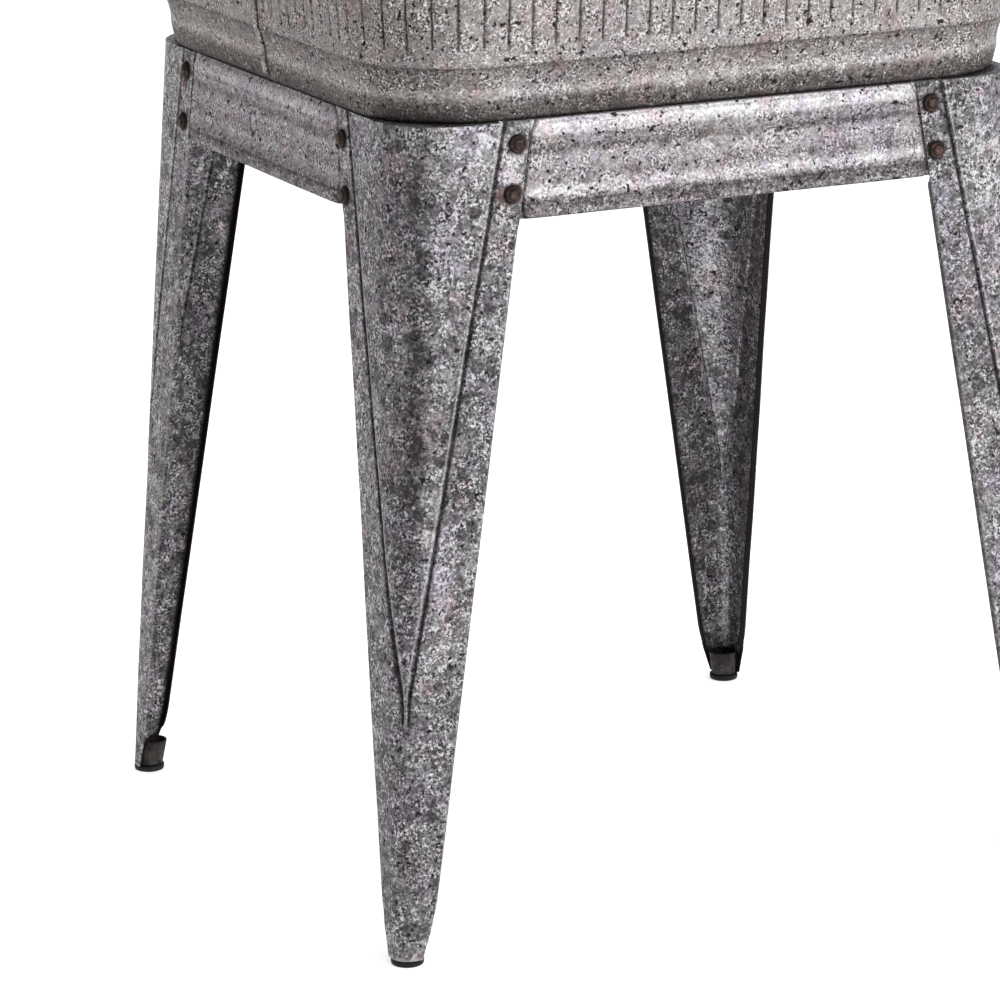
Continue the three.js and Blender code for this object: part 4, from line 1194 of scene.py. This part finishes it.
def pan_floor():
    """The pan's flat floor with its drain holes, as a filled outline given the sheet's thickness."""
    outline = bpy.data.curves.new("pan_outline", "CURVE")
    outline.dimensions = "2D"
    outline.fill_mode = "BOTH"
    outline.extrude = TUB_SHEET / 2
    drains = [(0, 0)] + [(i * DRAIN_SPREAD["x"], j * DRAIN_SPREAD["y"]) for i in (-1, 1) for j in (-1, 1)]
    loops = [pan_outline(PAN_INSET + 1)]
    for x, y in drains:
        angles = [k / 28 * 2 * math.pi for k in range(28)]
        loops.append([(x + DRAIN_RADIUS * math.cos(a), y + DRAIN_RADIUS * math.sin(a)) for a in angles])
    for loop in loops:
        spline = outline.splines.new("POLY")
        spline.points.add(len(loop) - 1)
        for point, (x, y) in zip(spline.points, loop):
            point.co = (x, y, 0, 1)
        spline.use_cyclic_u = True
    holder = bpy.data.objects.new("pan_outline", outline)
    collect(holder)
    bpy.context.view_layer.update()
    mesh = bpy.data.meshes.new_from_object(holder)
    points = np.array([v.co for v in mesh.vertices], float)
    points, same = np.unique(points.round(5), axis=0, return_inverse=True)
    same = same.reshape(-1)
    faces = [[int(same[v]) for v in p.vertices] for p in mesh.polygons]
    faces = [face for face in faces if len(set(face)) == len(face)]
    bpy.data.objects.remove(holder)
    bpy.data.curves.remove(outline)
    bpy.data.meshes.remove(mesh)
    near = np.min([np.hypot(points[:, 0] - x, points[:, 1] - y) for x, y in drains], axis=0)
    points[:, 2] += STAND_HEIGHT + FIT_GAP + FLOOR_LIFT + TUB_SHEET / 2
    return Shell(points, faces, grime=0.5 * (near < DRAIN_RADIUS + 0.5))


def pan():
    """The bottom pan: its floor, and an edge that stands up inside the foot of the wall."""
    low = FIT_GAP + FLOOR_LIFT
    high = low + PAN_EDGE
    inner, outer = -PAN_INSET - 2, -PAN_INSET
    section = [(inner, high - 0.5), (inner + 0.5, high), (outer - 0.5, high), (outer, high - 0.5)]
    section += [(outer, mix(low, high, 0.5)), (outer, low + 0.6), (outer - 0.6, low), (inner + 0.4, low)]
    section += [(inner, low + 0.4), (inner, mix(low, high, 0.5))]
    out, up = np.array(section, float).T
    rings = []
    for (x, y), (cx, cy) in zip(pan_outline(0), pan_outline(TUB_CORNER)):
        nx, ny = (x - cx) / TUB_CORNER, (y - cy) / TUB_CORNER
        rings.append(np.column_stack([x + nx * out, y + ny * out, STAND_HEIGHT + up]))
    edge = loft(rings, looped=True, grime=0.25, tone=-0.2)
    piece("tub_pan", [edge, pan_floor()], tub_zinc, "tub", sharp=40)


# ---- Handles
# Each set is made in a frame on the outside of a short wall, at the pivot height and leaning with the wall:
# x along the wall, outward along -Y, z up it.

LEAN = math.atan(TUB_FLARE)


def handle_place(side):
    face = side * (TUB_HALF["x"] + wall_out(HANDLE_HEIGHT))
    place = move(face, 0, STAND_HEIGHT + HANDLE_HEIGHT)
    return place @ spin(side * QUARTER, "Z") @ spin(LEAN, "X")


def rounded_block(width, depth, height, bevel, radius=0.3):
    """A box about the origin with its upright edges rounded in the XZ plane and its rims bevelled."""
    outline = np.array(rounded_outline(width / 2 - bevel, height / 2 - bevel, bevel, 4))
    shrink = 1 - 2 * radius / np.array([width, height])
    stations = [(-depth / 2, shrink), (-depth / 2 + radius, 1), (depth / 2 - radius, 1), (depth / 2, shrink)]
    points = [np.column_stack([outline * size, np.full(len(outline), y)])[:, [0, 2, 1]] for y, size in stations]
    count = len(outline)
    faces = grid_faces(4, count)
    faces += [list(range(count)), list(range(3 * count, 4 * count))[::-1]]
    return Shell(np.vstack(points), faces)


def ear_shells():
    """A plate with a barrel that the handle's pin turns in, and the web between them."""
    barrel_radius = 7
    plate = rounded_block(EAR_LENGTH + 8, EAR_SHEET, 2 * EAR_RIVET_SPREAD + 12, 3)
    plate.moved(move(0, -FIT_GAP - EAR_SHEET / 2, 0))
    web_depth = PIVOT_OUT - 3.9 - FIT_GAP - EAR_SHEET / 2
    web = rounded_block(EAR_LENGTH - 0.4, web_depth, 2 * barrel_radius - 2.4, 0.6)
    web.moved(move(0, -web_depth / 2 - FIT_GAP - EAR_SHEET / 2, 0))
    half, bore = EAR_LENGTH / 2, HANDLE_ROD + 0.4
    ring = [
        (bore, -half + 0.4), (bore + 0.4, -half), (barrel_radius - 0.5, -half),
        (barrel_radius, -half + 0.5), (barrel_radius, half - 0.5), (barrel_radius - 0.5, half),
        (bore + 0.4, half), (bore, half - 0.4),
    ]
    barrel = lathe(ring, 36, closed=True).moved(spin(QUARTER, "Y"))
    barrel.moved(move(0, -PIVOT_OUT, 0))
    return [plate, web, barrel]


def handle_shell():
    """A bent rod about its own pivot line: pins outwards through the ears, arms down, and a grip."""
    pin_end = EAR_SPACING + EAR_LENGTH / 2 + 3
    pin_bend, grip_bend, bend_steps = 5, 12, 10

    def arc(x, z, radius, start, turn):
        angles = start + np.arange(bend_steps + 1) / bend_steps * turn
        return list(zip(x + radius * np.cos(angles), z + radius * np.sin(angles)))

    half = [(pin_end - k * 5, 0.0) for k in range(3)]
    half += arc(HANDLE_HALF + pin_bend, -pin_bend, pin_bend, QUARTER, QUARTER)
    half += [(HANDLE_HALF, mix(-pin_bend, grip_bend - HANDLE_DROP, k / 6)) for k in range(1, 6)]
    half += arc(HANDLE_HALF - grip_bend, grip_bend - HANDLE_DROP, grip_bend, 0, -QUARTER)
    half += [(x, -HANDLE_DROP) for x in (28, 20, 12, 4)]
    path = half + [(-x, z) for x, z in half[::-1]]
    return tube(path, HANDLE_ROD, 20)


def handles():
    for name, side in (("left", -1), ("right", 1)):
        place = handle_place(side)
        for end, x in (("front", -side * EAR_SPACING), ("back", side * EAR_SPACING)):
            spot = place @ move(x, 0, 0)
            shells = [shell.moved(spot) for shell in ear_shells()]
            piece(f"handle_ear_{name}_{end}", shells, handle_steel, "tub")
            for up, level in ((-EAR_RIVET_SPREAD, "lower"), (EAR_RIVET_SPREAD, "upper")):
                grip = EAR_SHEET + FIT_GAP + TUB_SHEET
                on_ear = spot @ move(0, -EAR_SHEET - FIT_GAP, up)
                rivet = rivet_shell(EAR_RIVET_SHANK, EAR_RIVET_HEAD, grip, 24).moved(on_ear)
                piece(f"ear_rivet_{name}_{end}_{level}", [rivet], rivet_rust, "tub")
        hang = place @ move(0, -PIVOT_OUT, 0) @ spin(-LEAN, "X")
        rod = handle_shell().moved(hang)
        piece(f"handle_{name}", [rod], handle_steel, f"handle_{name}")


# ---- The object

for corner in CORNERS:
    leg(corner)
rails()
feet()
tub_walls()
pan()
handles()
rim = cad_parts["rim_wire"]
rim.data.materials.clear()
rim.data.materials.append(handle_steel)


# ---- Studio


def studio_floor():
    """A wide pale floor."""
    half = 30
    corners = [(-half, -half, 0), (half, -half, 0), (half, half, 0), (-half, half, 0)]
    mesh = bpy.data.meshes.new("floor")
    mesh.from_pydata(corners, [], [(0, 1, 2, 3)])
    n = Surface("floor_white")
    n.has("Roughness", 0.9)
    n.has("Specular IOR Level", 0.1)
    n.has("Base Color", (0.92, 0.92, 0.92, 1))
    n.has("Emission Color", (1, 1, 1, 1))
    n.has("Emission Strength", 0.62)
    mesh.materials.append(n.material)
    made = bpy.data.objects.new("floor", mesh)
    collect(made)


def studio_world():
    """Soft white light from all round, dimmer and warmer on the left, with a dark band there so that the
    rounded corners show."""
    world = bpy.data.worlds.new("studio")
    world.use_nodes = True
    bpy.context.scene.world = world
    n = Nodes(world.node_tree, "Generated")
    band = ((-0.90, -0.435, 0), [(0.70, (0.80, 0.81, 0.83)), (0.93, (0.10, 0.10, 0.10))])
    dim_left = ((-0.98, 0.2, 0), [(0.05, (1, 1, 1)), (0.60, (0.31, 0.262, 0.236))])
    parts = []
    for direction, stops in (band, dim_left):
        toward = n.add("ShaderNodeVectorMath", {0: n.place, 1: direction}, operation="DOT_PRODUCT")
        parts.append(n.ramp(toward.outputs["Value"], stops))
    background = world.node_tree.nodes["Background"]
    n.put(background.inputs["Color"], n.blend(1, *parts, "MULTIPLY"))
    background.inputs["Strength"].default_value = 0.75


def softbox(name, at, towards, size, power):
    light = bpy.data.lights.new(name, "AREA")
    light.shape = "RECTANGLE"
    light.size, light.size_y = size
    light.energy = power
    made = bpy.data.objects.new(name, light)
    made.location = at
    made.rotation_euler = (Vector(towards) - Vector(at)).to_track_quat("-Z", "Y").to_euler()
    collect(made)


def studio_camera():
    """Looks down a little at the stand's front left corner, from far off with a long lens."""
    yaw, pitch, roll = (math.radians(a) for a in (25.814, 15.103, -0.5575))
    forward = Vector((math.sin(yaw) * math.cos(pitch), math.cos(yaw) * math.cos(pitch), -math.sin(pitch)))
    right = forward.cross(Vector((0, 0, 1))).normalized()
    up = right.cross(forward)
    right_rolled = math.cos(roll) * right + math.sin(roll) * up
    up_rolled = math.cos(roll) * up - math.sin(roll) * right
    camera = bpy.data.cameras.new("camera")
    camera.sensor_width = 36
    camera.lens = 166.12
    made = bpy.data.objects.new("camera", camera)
    axes = Matrix((right_rolled, up_rolled, -forward)).transposed().to_4x4()
    made.matrix_world = move(-1.55376, -3.07335, 1.18028) @ axes
    collect(made)
    bpy.context.scene.camera = made


studio_floor()
studio_world()
softbox("key", (1.4, -3.4, 2.6), (0, 0, 0.5), (2.0, 1.6), 60)
softbox("fill", (-3.4, 0.6, 2.0), (0, 0, 0.4), (1.8, 1.8), 2)
softbox("top", (0.2, 0.2, 3.6), (0, 0, 0.6), (2.4, 2.4), 40)
studio_camera()
bpy.context.scene.view_settings.view_transform = "Standard"
